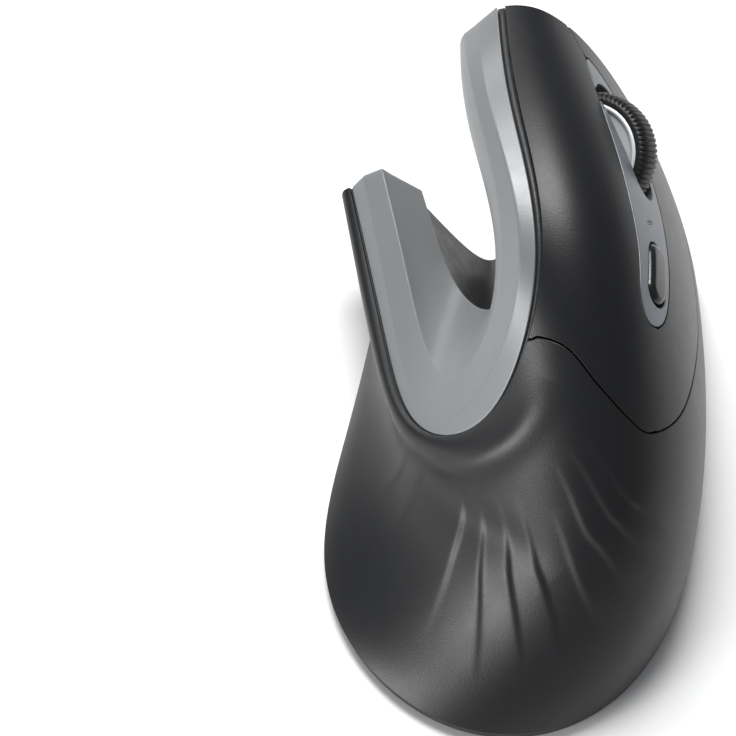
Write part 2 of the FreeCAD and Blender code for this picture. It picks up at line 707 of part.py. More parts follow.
def cover_plate(upper, lower, corners):
    """Plate in the front plane between two smooth edges and the straight ends given."""
    path = [upper[-1]] + corners + [lower[0]]
    sides = [plane_curve(upper)]
    sides += [Part.LineSegment(a, b).toShape() for a, b in zip(path, path[1:])]
    sides += [plane_curve(lower), Part.LineSegment(lower[-1], upper[0]).toShape()]
    face = Part.Face(Part.Wire(sides))
    face.translate(RAKE_NORMAL * -dim("cover_setback"))
    return face.extrude(RAKE_NORMAL * -dim("cover_thickness"))


front_edge = SKIN.uIso(0)
wing_edge = SKIN.uIso(1)
sign = 1 if inset_points(front_edge, 0.4, 0.6, 2, 1)[0].x < front_edge.value(0.4).x else -1
outer = inset_points(front_edge, 0.08, 0.97, 14, 3.4 * sign)
wall = inset_points(lining_front, 0.70, 0.14, 8, 2.6)
if wall[0].x < lining_front.value(0.70).x:
    wall = inset_points(lining_front, 0.70, 0.14, 8, -2.6)
foot_z = dim("shell_bottom") + 0.6
cover_corner = on_rake(wall[0].x + CENTRE_X + 0.3, foot_z)
cover = cover_plate(outer, wall, [cover_corner])

FRONT_BOSSES = [(30, 35.5), (8, 35.5)]
for x, y in FRONT_BOSSES:
    tube, bore = screw_boss(x, y, 12)
    arm = block(x - 1.0, x + 1.0, y, y + 6.2, 6.0, 9.0)
    cover = cover.fuse(tube).fuse(arm).cut(bore)
feature("front_cover", cover)

outer = inset_points(wing_edge, 0.35, 0.93, 8, 2.5)
if outer[0].x < wing_edge.value(0.35).x:
    outer = inset_points(wing_edge, 0.35, 0.93, 8, -2.5)
floor = inset_points(lining_front, 0.90, 0.985, 6, 2.0)
if floor[0].z > lining_front.value(0.90).z:
    floor = inset_points(lining_front, 0.90, 0.985, 6, -2.0)
feature("wing_cover", cover_plate(outer, floor, []))

# ---------------------------------------------------------------------------
# Base plate and everything that rests on it
# ---------------------------------------------------------------------------

PLATE_LOW = dim("plate_bottom")
PLATE_TOP = PLATE_LOW + dim("plate_thickness")
CELL = Vector(17, 2, PLATE_TOP + dim("cell_radius") - 0.1)
WINDOW = Vector(-4, 6, 0)
BAY = Vector(4, -33, 0)
SWITCH_SPOT = Vector(-15, -14, 0)
MAIN_CENTRE = Vector(-8, -2, 0)
STANDOFFS = [(-18, 15), (2, -19), (2, 15)]

ground_poles = [rib[-1] - skin_normal(i, ROWS - 1) * dim("plate_inset")
                for i, rib in enumerate(SKIN_CAGE)]
for end in (0, -1):
    ground_poles[end] = ground_poles[end] - Vector(0, dim("plate_inset"), 0)
ground_line = Part.LineSegment(ground_poles[-1], ground_poles[0])
plate_wire = Part.Wire([curve(ground_poles).toShape(), ground_line.toShape()])
plate_wire.translate(Vector(0, 0, PLATE_LOW - dim("shell_bottom")))
plate = Part.Face(plate_wire).extrude(Vector(0, 0, dim("plate_thickness")))

door_gap = dim("door_gap")
bay_gap = dim("bay_gap")


def wall_ring(centre, width, length, wall, low, high):
    """Rectangular sleeve around an opening of the given size."""
    outer_box = block(centre.x - width / 2 - wall, centre.x + width / 2 + wall,
                      centre.y - length / 2 - wall, centre.y + length / 2 + wall, low, high)
    inner_box = block(centre.x - width / 2, centre.x + width / 2,
                      centre.y - length / 2, centre.y + length / 2, low - 1, high + 1)
    return outer_box.cut(inner_box)


def centred_block(centre, width, length, low, high):
    return block(centre.x - width / 2, centre.x + width / 2,
                 centre.y - length / 2, centre.y + length / 2, low, high)


bay_width = dim("receiver_width") + 2 * bay_gap
bay_depth = dim("receiver_depth") + 2 * bay_gap
plate = plate.fuse(wall_ring(BAY, bay_width, bay_depth, dim("bay_wall"), PLATE_TOP - 0.5, 20.5))
plate = plate.fuse(wall_ring(CELL, 18.8, 56.8, dim("bay_wall"), PLATE_TOP - 0.5, 12))
for x, y in STANDOFFS:
    height = dim("main_height") - PLATE_TOP + 0.5
    post = Part.makeCylinder(1.7, height, Vector(x, y, PLATE_TOP - 0.5))
    bore = Part.makeCylinder(0.8, height - 1.5, Vector(x, y, PLATE_TOP + 1.0))
    plate = plate.fuse(post).cut(bore)
openings = [centred_block(BAY, bay_width, bay_depth, -1, 19.5),
            centred_block(CELL, dim("door_width") + 2 * door_gap,
                          dim("door_length") + 2 * door_gap, -1, PLATE_TOP),
            centred_block(SWITCH_SPOT, dim("knob_width") + 0.8,
                          dim("knob_length") + dim("knob_travel") + 0.8, -1, 4),
            Part.makeCylinder(dim("lens_radius") + 0.15, 4, Vector(WINDOW.x, WINDOW.y, 0))]
for x, y in REAR_BOSSES + FRONT_BOSSES:
    openings.append(Part.makeCylinder(dim("screw_shank") + 0.2, 4, Vector(x, y, 0)))
    openings.append(Part.makeCylinder(dim("screw_head") + 0.3, 1.4, Vector(x, y, PLATE_LOW - 0.1)))
for opening in openings:
    plate = plate.cut(opening)
feature("base_plate", plate)

foot_t = dim("foot_thickness")
FEET = {"front_foot": ("front_foot_width", "front_foot_length", 4, 36),
        "rear_foot": ("rear_foot_width", "rear_foot_length", 1, -49.5),
        "left_foot": ("side_foot_width", "side_foot_length", -30.5, -16),
        "right_foot": ("side_foot_width", "side_foot_length", 31.5, 6)}
for label, (width, length, x, y) in FEET.items():
    pad = rounded_box(dim(width), dim(length), foot_t, 3.0)
    pad.translate(Vector(x, y, 0))
    feature(label, pad)

ring_low = PLATE_LOW - dim("ring_thickness")
expression_body("sensor_ring", Placement(Vector(WINDOW.x, WINDOW.y, ring_low), Rotation()),
                "ring_thickness", circles("ring_outer", "ring_inner"))
expression_body("battery_door", Placement(Vector(CELL.x, CELL.y, PLATE_LOW), Rotation()),
                "door_thickness", rectangle("door_width", "door_length"))
board_holes = [Vector(x, y, 0) - MAIN_CENTRE for x, y in STANDOFFS]
expression_body("main_board", Placement(Vector(MAIN_CENTRE.x, MAIN_CENTRE.y,
                                               dim("main_height")), Rotation()),
                "board_thickness",
                with_holes(rectangle("main_width", "main_length"), board_holes, "board_hole"))
expression_body("optical_sensor",
                Placement(Vector(WINDOW.x, WINDOW.y, dim("main_height") - dim("sensor_height")),
                          Rotation()),
                "sensor_height", rectangle("sensor_width", "sensor_length"))
expression_body("sensor_lens", Placement(Vector(WINDOW.x, WINDOW.y, 1.6), Rotation()),
                "lens_height", circles("lens_radius"))
expression_body("radio_can",
                Placement(Vector(-9, -10, dim("main_height") + dim("board_thickness")),
                          Rotation()),
                "radio_height", rectangle("radio_width", "radio_length"))
expression_body("slide_switch",
                Placement(Vector(SWITCH_SPOT.x, SWITCH_SPOT.y,
                                 dim("main_height") - dim("slide_height")), Rotation()),
                "slide_height", rectangle("slide_width", "slide_length"))

led = Part.makeCylinder(dim("led_radius"), dim("led_length"), Vector(-4, -3.4, 6.2),
                        Vector(0, -1, 0))
led_rim = Part.makeCylinder(dim("led_radius") + 0.3, 0.6, Vector(-4, -7.0, 6.2),
                            Vector(0, -1, 0))
feature("sensor_led", led.fuse(led_rim))

KNOB_START = SWITCH_SPOT.y - dim("knob_travel") / 2
knob = centred_block(Vector(SWITCH_SPOT.x, KNOB_START, 0), dim("knob_width"),
                     dim("knob_length"), 1.0, 1.0 + dim("knob_height"))
for groove in (-1.2, 0.0, 1.2):
    knob = knob.cut(block(SWITCH_SPOT.x - 3, SWITCH_SPOT.x + 3, KNOB_START + groove - 0.25,
                          KNOB_START + groove + 0.25, 0.9, 1.4))
knob = knob.fuse(centred_block(Vector(SWITCH_SPOT.x, KNOB_START, 0), 1.6, 2.0, 2.5, 4.3))
feature("power_switch", knob)

cell = Part.makeCylinder(dim("cell_radius"), dim("cell_length"),
                         Vector(CELL.x, CELL.y - 22.5, CELL.z), Vector(0, 1, 0))
nub = Part.makeCylinder(dim("cell_nub_radius"), dim("cell_nub_height"),
                        Vector(CELL.x, CELL.y - 22.5 + dim("cell_length"), CELL.z),
                        Vector(0, 1, 0))
feature("battery", cell.fuse(nub))

contact_z = PLATE_TOP + 1.0
plus = block(CELL.x - dim("contact_width") / 2, CELL.x + dim("contact_width") / 2,
             CELL.y + 27.8, CELL.y + 27.8 + dim("contact_thickness"),
             contact_z, contact_z + dim("contact_height"))
minus = block(CELL.x - dim("contact_width") / 2, CELL.x + dim("contact_width") / 2,
              CELL.y - 27.9, CELL.y - 27.9 + dim("contact_thickness"),
              contact_z, contact_z + dim("contact_height"))
feature("plus_contact", plus)
feature("minus_contact", minus)

# Bent leaf that pushes the cell forward.
root_y = CELL.y - 27.9 + dim("contact_thickness") + 0.05
tip_y = CELL.y - 22.5 - 0.05
half_leaf = dim("leaf_width") / 2
leaf_side = [(root_y, -4.5), (tip_y, -0.4), (tip_y, 0.4), (root_y, 4.5), (root_y, 3.8),
             (tip_y - dim("leaf_thickness"), 0), (root_y, -3.8)]
leaf_face = Part.Face(polyline([Vector(CELL.x - half_leaf, y, CELL.z + z) for y, z in leaf_side]))
feature("leaf_contact", leaf_face.extrude(Vector(dim("leaf_width"), 0, 0)))

screws = []
for x, y in REAR_BOSSES + FRONT_BOSSES:
    head = Part.makeCylinder(dim("screw_head"), 1.1, Vector(x, y, PLATE_LOW + 0.1))
    shank = Part.makeCylinder(dim("screw_shank"), dim("screw_length"),
                              Vector(x, y, PLATE_LOW + 0.5))
    cross = centred_block(Vector(x, y, 0), 0.5, 2.2, PLATE_LOW, PLATE_LOW + 0.6)
    cross = cross.fuse(centred_block(Vector(x, y, 0), 2.2, 0.5, PLATE_LOW, PLATE_LOW + 0.6))
    screws.append(head.fuse(shank).cut(cross))
feature("base_screws", Part.Compound(screws))

board_top = dim("main_height") + dim("board_thickness")
screws = []
for x, y in STANDOFFS:
    head = Part.makeCylinder(1.6, 1.0, Vector(x, y, board_top))
    shank = Part.makeCylinder(0.7, 4.5, Vector(x, y, board_top - 4.5 + 0.2))
    screws.append(head.fuse(shank))
feature("board_screws", Part.Compound(screws))

cap = centred_block(BAY, dim("receiver_width"), dim("receiver_depth"), 1.0,
                    1.0 + dim("receiver_cap"))
feature("receiver_cap", cap)
plug_low = 1.0 + dim("receiver_cap")
plug = centred_block(BAY, dim("plug_width"), dim("plug_depth"), plug_low,
                     plug_low + dim("receiver_plug") - 1.6)
plug = plug.cut(centred_block(BAY, dim("plug_width") - 0.8, dim("plug_depth") - 0.8,
                              plug_low + 1.0, plug_low + 20))
feature("receiver_plug", plug)

# ---------------------------------------------------------------------------
# Switch carrier, wheel and switches under the palm side
# ---------------------------------------------------------------------------

CARRIER_OUTLINE = [(-16.5, -22), (-16.5, 12), (-9, 18), (0, 17), (10, 13), (19, 8), (19, -10),
                   (27, -14), (27, -34), (-4, -34)]


def wheel_opening(half_width, half_length, low, high):
    box = block(-half_width, half_width, -half_length, half_length, low, high)
    return placed(box, WHEEL)


def palm_plate(shrink, low, thickness):
    outline = polyline([Vector(p, q, 0) for p, q in CARRIER_OUTLINE])
    if shrink:
        outline = outline.makeOffset2D(-shrink)
    made = placed(prism(outline, low, low + thickness), PALM)
    return made.cut(wheel_opening(4.6, 13.2, -12, 4))


frame = palm_plate(0, -dim("frame_depth"), dim("frame_thickness"))
LEGS = [(13.0, 36.5, PLATE_TOP + 0.1), (25.4, 12.0, 12.05)]
for x, y, low in LEGS:
    leg = Part.makeCylinder(1.4, 60, Vector(x, y, low))
    pieces = leg.cut(frame).Solids
    frame = frame.fuse(min(pieces, key=lambda piece: piece.CenterOfMass.z))
feature("inner_frame", frame)
feature("button_board", palm_plate(0.8, -dim("palm_board_depth"), dim("board_thickness")))


def micro_switch(p, q):
    case = block(p - dim("switch_width") / 2, p + dim("switch_width") / 2,
                 q - dim("switch_length") / 2, q + dim("switch_length") / 2,
                 BOARD_TOP, BOARD_TOP + dim("switch_height"))
    plunger = Part.makeCylinder(dim("plunger_radius"), dim("plunger_height") + 0.5,
                                Vector(p, q, BOARD_TOP + dim("switch_height") - 0.5))
    return placed(case.fuse(plunger), PALM)


def tact_switch(p, q):
    half = dim("tact_size") / 2
    case = block(p - half, p + half, q - half, q + half, BOARD_TOP,
                 BOARD_TOP + dim("tact_height") - 0.8)
    plunger = Part.makeCylinder(1.2, 1.3, Vector(p, q, BOARD_TOP + dim("tact_height") - 1.3))
    return placed(case.fuse(plunger), PALM)


feature("left_switch", micro_switch(*LEFT_SWITCH))
feature("right_switch", micro_switch(*RIGHT_SWITCH))
feature("dpi_switch", tact_switch(CAPSULE_CENTRE.x, CAPSULE_CENTRE.y))

carrier_low = dim("wheel_depth") - dim("carrier_low")
carrier_high = dim("wheel_depth") - dim("carrier_high")
inner_x = dim("wheel_width") / 2 + dim("carrier_gap")
inner_y = dim("wheel_radius") + dim("carrier_gap")
wall_t = dim("carrier_wall")
ring_body = block(-inner_x - wall_t, inner_x + wall_t, -inner_y - wall_t, inner_y + wall_t,
                  carrier_low, carrier_high)
ring_body = ring_body.cut(block(-inner_x, inner_x, -inner_y, inner_y, -20, 20))
axle_hole = Part.makeCylinder(dim("axle_radius") + 0.05, 40, Vector(-20, 0, 0), Vector(1, 0, 0))
ring_body = ring_body.cut(axle_hole)
tab_end = -inner_y - wall_t - dim("tab_length")
tab_low = carrier_high - dim("tab_thickness")
tab = block(-2.5, 2.5, tab_end, -inner_y - 0.5, tab_low, carrier_high)
stub_y = tab_end + 2.5
tact_top = BOARD_TOP + dim("tact_height") + dim("wheel_depth")
stub = Part.makeCylinder(1.2, tab_low - tact_top - 0.7 + 0.5,
                         Vector(0, stub_y, tact_top + 0.7))
feature("wheel_carrier", placed(ring_body.fuse(tab).fuse(stub), WHEEL))

stub_spot = PALM.inverse().multVec(WHEEL.multVec(Vector(0, stub_y, 0)))
feature("wheel_switch", tact_switch(stub_spot.x, stub_spot.y))

encoder_low = BOARD_TOP + dim("wheel_depth")
encoder_x = inner_x + wall_t + 0.5
encoder = block(encoder_x, encoder_x + dim("encoder_width"), -dim("encoder_length") / 2,
                dim("encoder_length") / 2, encoder_low,
                encoder_low + dim("encoder_height") - 1.7)
encoder = encoder.cut(Part.makeCylinder(dim("encoder_bore"), 30, Vector(0, 0, 0),
                                        Vector(1, 0, 0)))
feature("scroll_encoder", placed(encoder, WHEEL))

half_w = dim("wheel_width") / 2
tyre_inner = dim("wheel_radius") - dim("tyre_depth")
shoulder = dim("wheel_radius") - 1.1
profile = [Vector(-half_w + 0.05, 0, tyre_inner), Vector(-half_w + 0.05, 0, shoulder),
           Vector(-2.2, 0, dim("wheel_radius")), Vector(2.2, 0, dim("wheel_radius")),
           Vector(half_w - 0.05, 0, shoulder), Vector(half_w - 0.05, 0, tyre_inner)]
tyre = Part.Face(polyline(profile)).revolve(Vector(0, 0, 0), Vector(1, 0, 0), 360)
rib_count = int(dim("rib_count"))
grooves = []
for i in range(rib_count):
    groove = block(-4, 4, -0.24, 0.24, dim("wheel_radius") - dim("rib_depth"), 14)
    groove.rotate(Vector(0, 0, 0), Vector(1, 0, 0), 360.0 * i / rib_count)
    grooves.append(groove)
tyre = tyre.cut(Part.Compound(grooves))
feature("wheel_tyre", placed(largest_solid(tyre), WHEEL))

rim = Part.makeCylinder(tyre_inner, 2 * half_w, Vector(-half_w, 0, 0), Vector(1, 0, 0))
for side in (-1, 1):
    dish = Part.makeCylinder(tyre_inner - 1.2, 1.4, Vector(side * half_w, 0, 0),
                             Vector(-side, 0, 0))
    boss = Part.makeCylinder(2.4, 1.4, Vector(side * half_w, 0, 0), Vector(-side, 0, 0))
    rim = rim.cut(dish.cut(boss))
for i in range(6):
    hole = Part.makeCylinder(1.5, 20, Vector(-10, 0, 5.6), Vector(1, 0, 0))
    hole.rotate(Vector(0, 0, 0), Vector(1, 0, 0), 60.0 * i)
    rim = rim.cut(hole)
axle = Part.makeCylinder(dim("axle_radius"), 2 * dim("axle_half"),
                         Vector(-dim("axle_half"), 0, 0), Vector(1, 0, 0))
feature("wheel_hub", placed(rim.fuse(axle), WHEEL))

# Thumb switches on their own upright board.
board_x = 6.6
thumb_board = block(board_x, board_x + dim("board_thickness"), 10, 46, 36, 45)
feature("thumb_board", thumb_board)
for label, (y, z) in THUMB_KEYS.items():
    name = label.replace("button", "switch")
    case = block(4.4, board_x, y - 2.5, y + 2.5, z - 2.5, z + 2.5)
    plunger = Part.makeCylinder(1.2, 1.0, Vector(4.0, y, z), Vector(1, 0, 0))
    feature(name, case.fuse(plunger))

doc.recompute()
os.makedirs("parts", exist_ok=True)
for label, made in nodes.items():
    shape = made.Shape
    if shape.isNull() or not shape.isValid():
        raise RuntimeError("bad shape: " + label)
    if "Invalid" in made.State or "Error" in made.State:
        raise RuntimeError("bad object: " + label)
    shape.exportStep("parts/%s.step" % label)
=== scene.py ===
import math
import bpy
import numpy as np
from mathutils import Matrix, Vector


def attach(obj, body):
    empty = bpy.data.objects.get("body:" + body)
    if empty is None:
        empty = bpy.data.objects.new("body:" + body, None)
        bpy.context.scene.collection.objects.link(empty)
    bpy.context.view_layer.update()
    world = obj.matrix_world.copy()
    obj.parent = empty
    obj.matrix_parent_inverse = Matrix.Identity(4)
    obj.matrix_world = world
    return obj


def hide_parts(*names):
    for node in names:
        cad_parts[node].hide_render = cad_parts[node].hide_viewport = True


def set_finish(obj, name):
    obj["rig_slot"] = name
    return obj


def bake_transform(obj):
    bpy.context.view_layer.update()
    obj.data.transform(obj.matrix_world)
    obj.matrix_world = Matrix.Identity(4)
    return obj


# Looks of a right-handed vertical mouse.  Shapes are worked out in millimetres about the
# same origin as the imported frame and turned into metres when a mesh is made.

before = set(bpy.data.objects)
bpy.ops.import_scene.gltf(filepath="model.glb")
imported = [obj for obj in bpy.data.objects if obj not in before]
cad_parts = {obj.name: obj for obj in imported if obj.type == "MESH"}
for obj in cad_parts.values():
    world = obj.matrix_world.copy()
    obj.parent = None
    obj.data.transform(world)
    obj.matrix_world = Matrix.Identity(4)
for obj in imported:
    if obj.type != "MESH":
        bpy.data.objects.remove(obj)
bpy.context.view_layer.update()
MM = 0.001
CENTRE = np.array([1.5, 1.35, 0.0])


def at(*xyz):
    return np.array(xyz, float) - CENTRE


def on_rake(x, z):
    """Point of the leaning plane that holds every front edge."""
    return at(x, 43 + 0.25 * z, z)


EDGE_A = [on_rake(-3.2, 71), at(-2.8, 44, 74.2), at(0.2, 27, 76), at(2.9, 11, 75.5),
          at(2.6, -2.4, 69.5), at(-1, -11.6, 57), at(-6.2, -15.5, 46), at(-13.6, -14.2, 38),
          at(-19.2, -8, 33), at(-22.2, 2, 29.8), at(-24.5, 16, 27.5), at(-27.7, 34, 26.2),
          on_rake(-30.7, 26)]
EDGE_B = [on_rake(-7, 67), at(-6.6, 43, 73.8), at(-3.2, 26.5, 75.6), at(-0.1, 12, 75.3),
          at(-0.1, -0.5, 69), at(-3.3, -7.3, 57.5), at(-8, -10.8, 47), at(-13, -12.3, 40),
          at(-17.7, -6.2, 34.8), at(-20.5, 2, 31.8), at(-22.5, 14, 29.8), at(-25.3, 32.9, 29),
          on_rake(-28.5, 29)]
EDGE_C = [on_rake(-9.4, 64.7), at(-9, 44, 71.5), at(-5.4, 27, 73), at(-2.9, 12, 71),
          at(-3.5, 2.8, 63), at(-5.6, -1, 54.5), at(-9.2, -4.2, 46.5), at(-12.8, -4.3, 41.5),
          at(-15.6, 2.5, 37), at(-17.6, 11, 34.2), at(-19.6, 22.5, 32.4),
          at(-22.3, 38.5, 31.2), on_rake(-24.8, 31)]
EDGE_M = [on_rake(-11, 61.5), at(-12.2, 44, 65.5), at(-8.6, 28, 67), at(-5.6, 14, 65),
          at(-5.6, 7, 57), at(-6.5, 4.5, 49), at(-8.5, 5, 42), at(-11, 7.5, 36.5),
          at(-13.5, 14, 32.5), at(-15.2, 20.5, 31), at(-16.8, 29, 29.6), at(-19, 41, 28.2),
          on_rake(-21, 28)]
EDGE_D = [on_rake(-8.5, 58.5), at(-8, 44.5, 58), at(-4.5, 28, 59), at(-1.5, 15, 57.5),
          at(-1, 9, 53), at(-2.5, 9.5, 47.5), at(-5, 12.5, 40), at(-7.5, 17, 34.5),
          at(-10, 23, 30.5), at(-12, 28.8, 28.8), at(-13.3, 34, 27.3), at(-15.5, 43.5, 25.5),
          on_rake(-16.8, 25)]
RIB_TAILS = [
    [on_rake(2.0, 72.4), on_rake(8.6, 69.0), on_rake(16.3, 59.8), on_rake(24.2, 45.5),
     on_rake(31, 29.5), on_rake(36.3, 13), on_rake(38.4, 3)],
    [at(3.2, 44, 75.4), at(11, 43.5, 73), at(19, 42.5, 64.5), at(26.5, 41, 50),
     at(33, 39.5, 33.5), at(37.6, 38, 15.5), at(39, 37, 3)],
    [at(6.5, 27, 77.4), at(14.5, 26.5, 75), at(22.3, 25.5, 66), at(29.5, 24.5, 51),
     at(35.4, 23.5, 33.5), at(38.7, 22.5, 15.5), at(39.2, 22, 3)],
    [at(9.5, 11, 76.6), at(17.5, 10, 73.5), at(24.6, 8.5, 64), at(31.4, 7, 49.5),
     at(36.4, 5.5, 32.5), at(38.7, 4, 15), at(38.4, 3.5, 3)],
    [at(8.5, -4.5, 71.2), at(17, -7.5, 67.5), at(25.3, -10.5, 58), at(32.2, -13, 44),
     at(36, -15.5, 28.5), at(36.9, -18, 13), at(35.4, -19.5, 3)],
    [at(2, -14, 59.8), at(8.5, -19, 60.5), at(17.5, -25, 55), at(25.5, -32, 43.5),
     at(29.8, -38, 29), at(30.5, -42, 13), at(28.8, -43, 3)],
    [at(-4, -17.8, 48.6), at(-0.5, -22.5, 49.5), at(5, -30, 46), at(10.5, -39.5, 36.5),
     at(13, -49, 24), at(12, -56.5, 11), at(10.5, -58.8, 3)],
    [at(-13.2, -16.6, 39.6), at(-12, -19.6, 38.5), at(-10, -23.5, 32.5), at(-9, -32, 25.5),
     at(-9.5, -44, 17), at(-10.5, -55, 8), at(-11.5, -58.8, 3)],
    [at(-20.6, -9.8, 33.6), at(-21.2, -11.6, 31.5), at(-18.6, -14.5, 25),
     at(-19.5, -22.5, 17.5), at(-23.6, -33.8, 10.5), at(-27.4, -43.3, 5.5),
     at(-28.7, -45.2, 3)],
    [at(-24.2, 0.8, 30.3), at(-25, -0.4, 28), at(-22, -2.5, 21.5), at(-24.5, -9, 14.5),
     at(-30.4, -18, 8.5), at(-35.2, -25.5, 5), at(-37, -27, 3)],
    [at(-26.7, 15.2, 27.7), at(-27.7, 14.2, 25.2), at(-25, 13, 18.5), at(-26, 9.5, 12.5),
     at(-29.3, 4, 8), at(-33.6, -3.5, 5), at(-35.6, -6, 3)],
    [at(-29.8, 33.6, 26.2), at(-30.8, 33, 23.5), at(-27.6, 31.6, 17), at(-25.6, 29, 12),
     at(-25.8, 25, 8), at(-27.6, 20, 5), at(-28.6, 18, 3)],
    [on_rake(-32.7, 25.6), on_rake(-33.2, 23), on_rake(-29.5, 17), on_rake(-26.5, 12),
     on_rake(-24.7, 8), on_rake(-24.2, 5), on_rake(-24.2, 3)],
]
SKIN = np.array([[start] + tail for start, tail in zip(EDGE_A, RIB_TAILS)])
RAKE_NORMAL = np.array([0, 1, -0.25]) / math.hypot(1, 0.25)


# ---------------------------------------------------------------------------
# Curves, surfaces and plane frames
# ---------------------------------------------------------------------------

def unit(v):
    v = np.asarray(v, float)
    return v / (np.linalg.norm(v, axis=-1, keepdims=True) + 1e-15)


def basis(count, t, degree=3):
    """Clamped uniform B-spline basis, one row for each parameter."""
    t = np.clip(np.atleast_1d(np.asarray(t, float)), 0, 1 - 1e-12)
    knots = np.concatenate([np.zeros(degree), np.linspace(0, 1, count - degree + 1),
                            np.ones(degree)])
    rows = np.array([(t >= a) & (t < b) for a, b in zip(knots, knots[1:])], float).T
    for d in range(1, degree + 1):
        nxt = np.zeros((len(t), rows.shape[1] - 1))
        for i in range(nxt.shape[1]):
            if knots[i + d] > knots[i]:
                nxt[:, i] += (t - knots[i]) / (knots[i + d] - knots[i]) * rows[:, i]
            if knots[i + d + 1] > knots[i + 1]:
                nxt[:, i] += ((knots[i + d + 1] - t) / (knots[i + d + 1] - knots[i + 1])
                              * rows[:, i + 1])
        rows = nxt
    return rows


def spline(poles, t, degree=3):
    return basis(len(poles), t, degree) @ np.asarray(poles, float)


def net_point(net, u, v):
    rows = np.einsum("ni,ijk->njk", basis(net.shape[0], u), net)
    return np.einsum("nj,njk->nk", basis(net.shape[1], v), rows)


def with_normal(point, u, v, side):
    """Points of a surface and its unit normals, turned to the given side."""
    e = 2e-4
    u0, u1 = np.clip(u - e, 0, 1), np.clip(u + e, 0, 1)
    v0, v1 = np.clip(v - e, 0, 1), np.clip(v + e, 0, 1)
    along = point(u1, v) - point(u0, v)
    across = point(u, v1) - point(u, v0)
    return point(u, v), unit(np.cross(along, across)) * side


class Plane:
    """Flat frame with an origin, two axes in the plane and a normal."""

    def __init__(self, origin, normal, forward):
        self.origin = np.asarray(origin, float)
        self.normal = unit(normal)
        forward = np.asarray(forward, float)
        self.forward = unit(forward - self.normal * forward.dot(self.normal))
        self.across = np.cross(self.forward, self.normal)

    def local(self, points):
        d = np.asarray(points, float) - self.origin
        return np.stack([d @ self.across, d @ self.forward, d @ self.normal], -1)

    def world(self, x, y, z):
        return self.origin + x * self.across + y * self.forward + z * self.normal


PALM = Plane(at(20.8, 36.3, 62.5), (0.83, 0.115, 0.545), (-0.202, 0.973, 0.11))
KEYS = Plane(at(18, 10, 60), (0.35, -0.30, 0.89), (0, 1, 0))
WHEEL_TURN = math.radians(12)
WHEEL_DEPTH = 7.2


def smooth_path(points, closed=False, steps=14):
    """Catmull-Rom points through the given ones."""
    pts = np.asarray(points, float)
    count = len(pts) if closed else len(pts) - 1
    out = []
    for i in range(count):
        if closed:
            a, b, c, d = (pts[(i + k) % len(pts)] for k in (-1, 0, 1, 2))
        else:
            b, c = pts[i], pts[i + 1]
            a = pts[i - 1] if i else 2 * b - c
            d = pts[i + 2] if i + 2 < len(pts) else 2 * c - b
        for k in range(steps):
            t = k / steps
            out.append(0.5 * (2 * b + (c - a) * t + (2 * a - 5 * b + 4 * c - d) * t * t
                              + (3 * b - a - 3 * c + d) * t ** 3))
    if not closed:
        out.append(pts[-1])
    return np.array(out)


def polygon_distance(points, polygon):
    """Signed distance to a closed polygon, positive inside."""
    a = polygon
    b = np.roll(polygon, -1, axis=0)
    best = np.empty(len(points))
    inside = np.zeros(len(points), bool)
    edge = b - a
    length2 = (edge ** 2).sum(-1) + 1e-12
    for start in range(0, len(points), 4000):
        p = points[start:start + 4000]
        rel = p[:, None] - a[None]
        t = np.clip((rel * edge).sum(-1) / length2, 0, 1)
        off = rel - t[..., None] * edge
        best[start:start + 4000] = np.sqrt((off ** 2).sum(-1).min(-1))
        px, py = p[:, :1], p[:, 1:]
        spans = (a[:, 1] > py) != (b[:, 1] > py)
        dy = np.where(np.abs(edge[:, 1]) < 1e-12, 1e-12, edge[:, 1])
        crossing = a[:, 0] + (py - a[:, 1]) * edge[:, 0] / dy
        inside[start:start + 4000] = (spans & (px < crossing)).sum(-1) % 2 == 1
    return np.where(inside, best, -best)


def capsule_distance(local, centre, turn, length, width):
    """Signed distance to a slot with round ends, positive inside."""
    c, s = math.cos(turn), math.sin(turn)
    x, y = local[:, 0] - centre[0], local[:, 1] - centre[1]
    across = x * c + y * s
    along = -x * s + y * c
    past = np.maximum(np.abs(along) - (length - width) / 2, 0)
    return width / 2 - np.hypot(across, past)


# ---------------------------------------------------------------------------
# Meshes
# ---------------------------------------------------------------------------

def make_object(name, points, faces, normals=None, groups=None):
    mesh = bpy.data.meshes.new(name)
    mesh.from_pydata((np.asarray(points) * MM).tolist(), [], faces)
    if groups is not None:
        mesh.polygons.foreach_set("material_index", groups)
    mesh.polygons.foreach_set("use_smooth", [True] * len(mesh.polygons))
    if normals is not None:
        mesh.normals_split_custom_set(normals)
    mesh.update()
    made = bpy.data.objects.new(name, mesh)
    bpy.context.collection.objects.link(made)
    return made


def boundary_loops(faces):
    ahead = {}
    directed = {(f[i], f[(i + 1) % len(f)]) for f in faces for i in range(len(f))}
    for a, b in directed:
        if (b, a) not in directed:
            ahead[a] = b
    loops = []
    while ahead:
        first = min(ahead)
        loop = [first]
        while ahead.get(loop[-1], first) != first:
            loop.append(ahead.pop(loop[-1]))
        ahead.pop(loop[-1], None)
        loops.append(loop)
    return loops


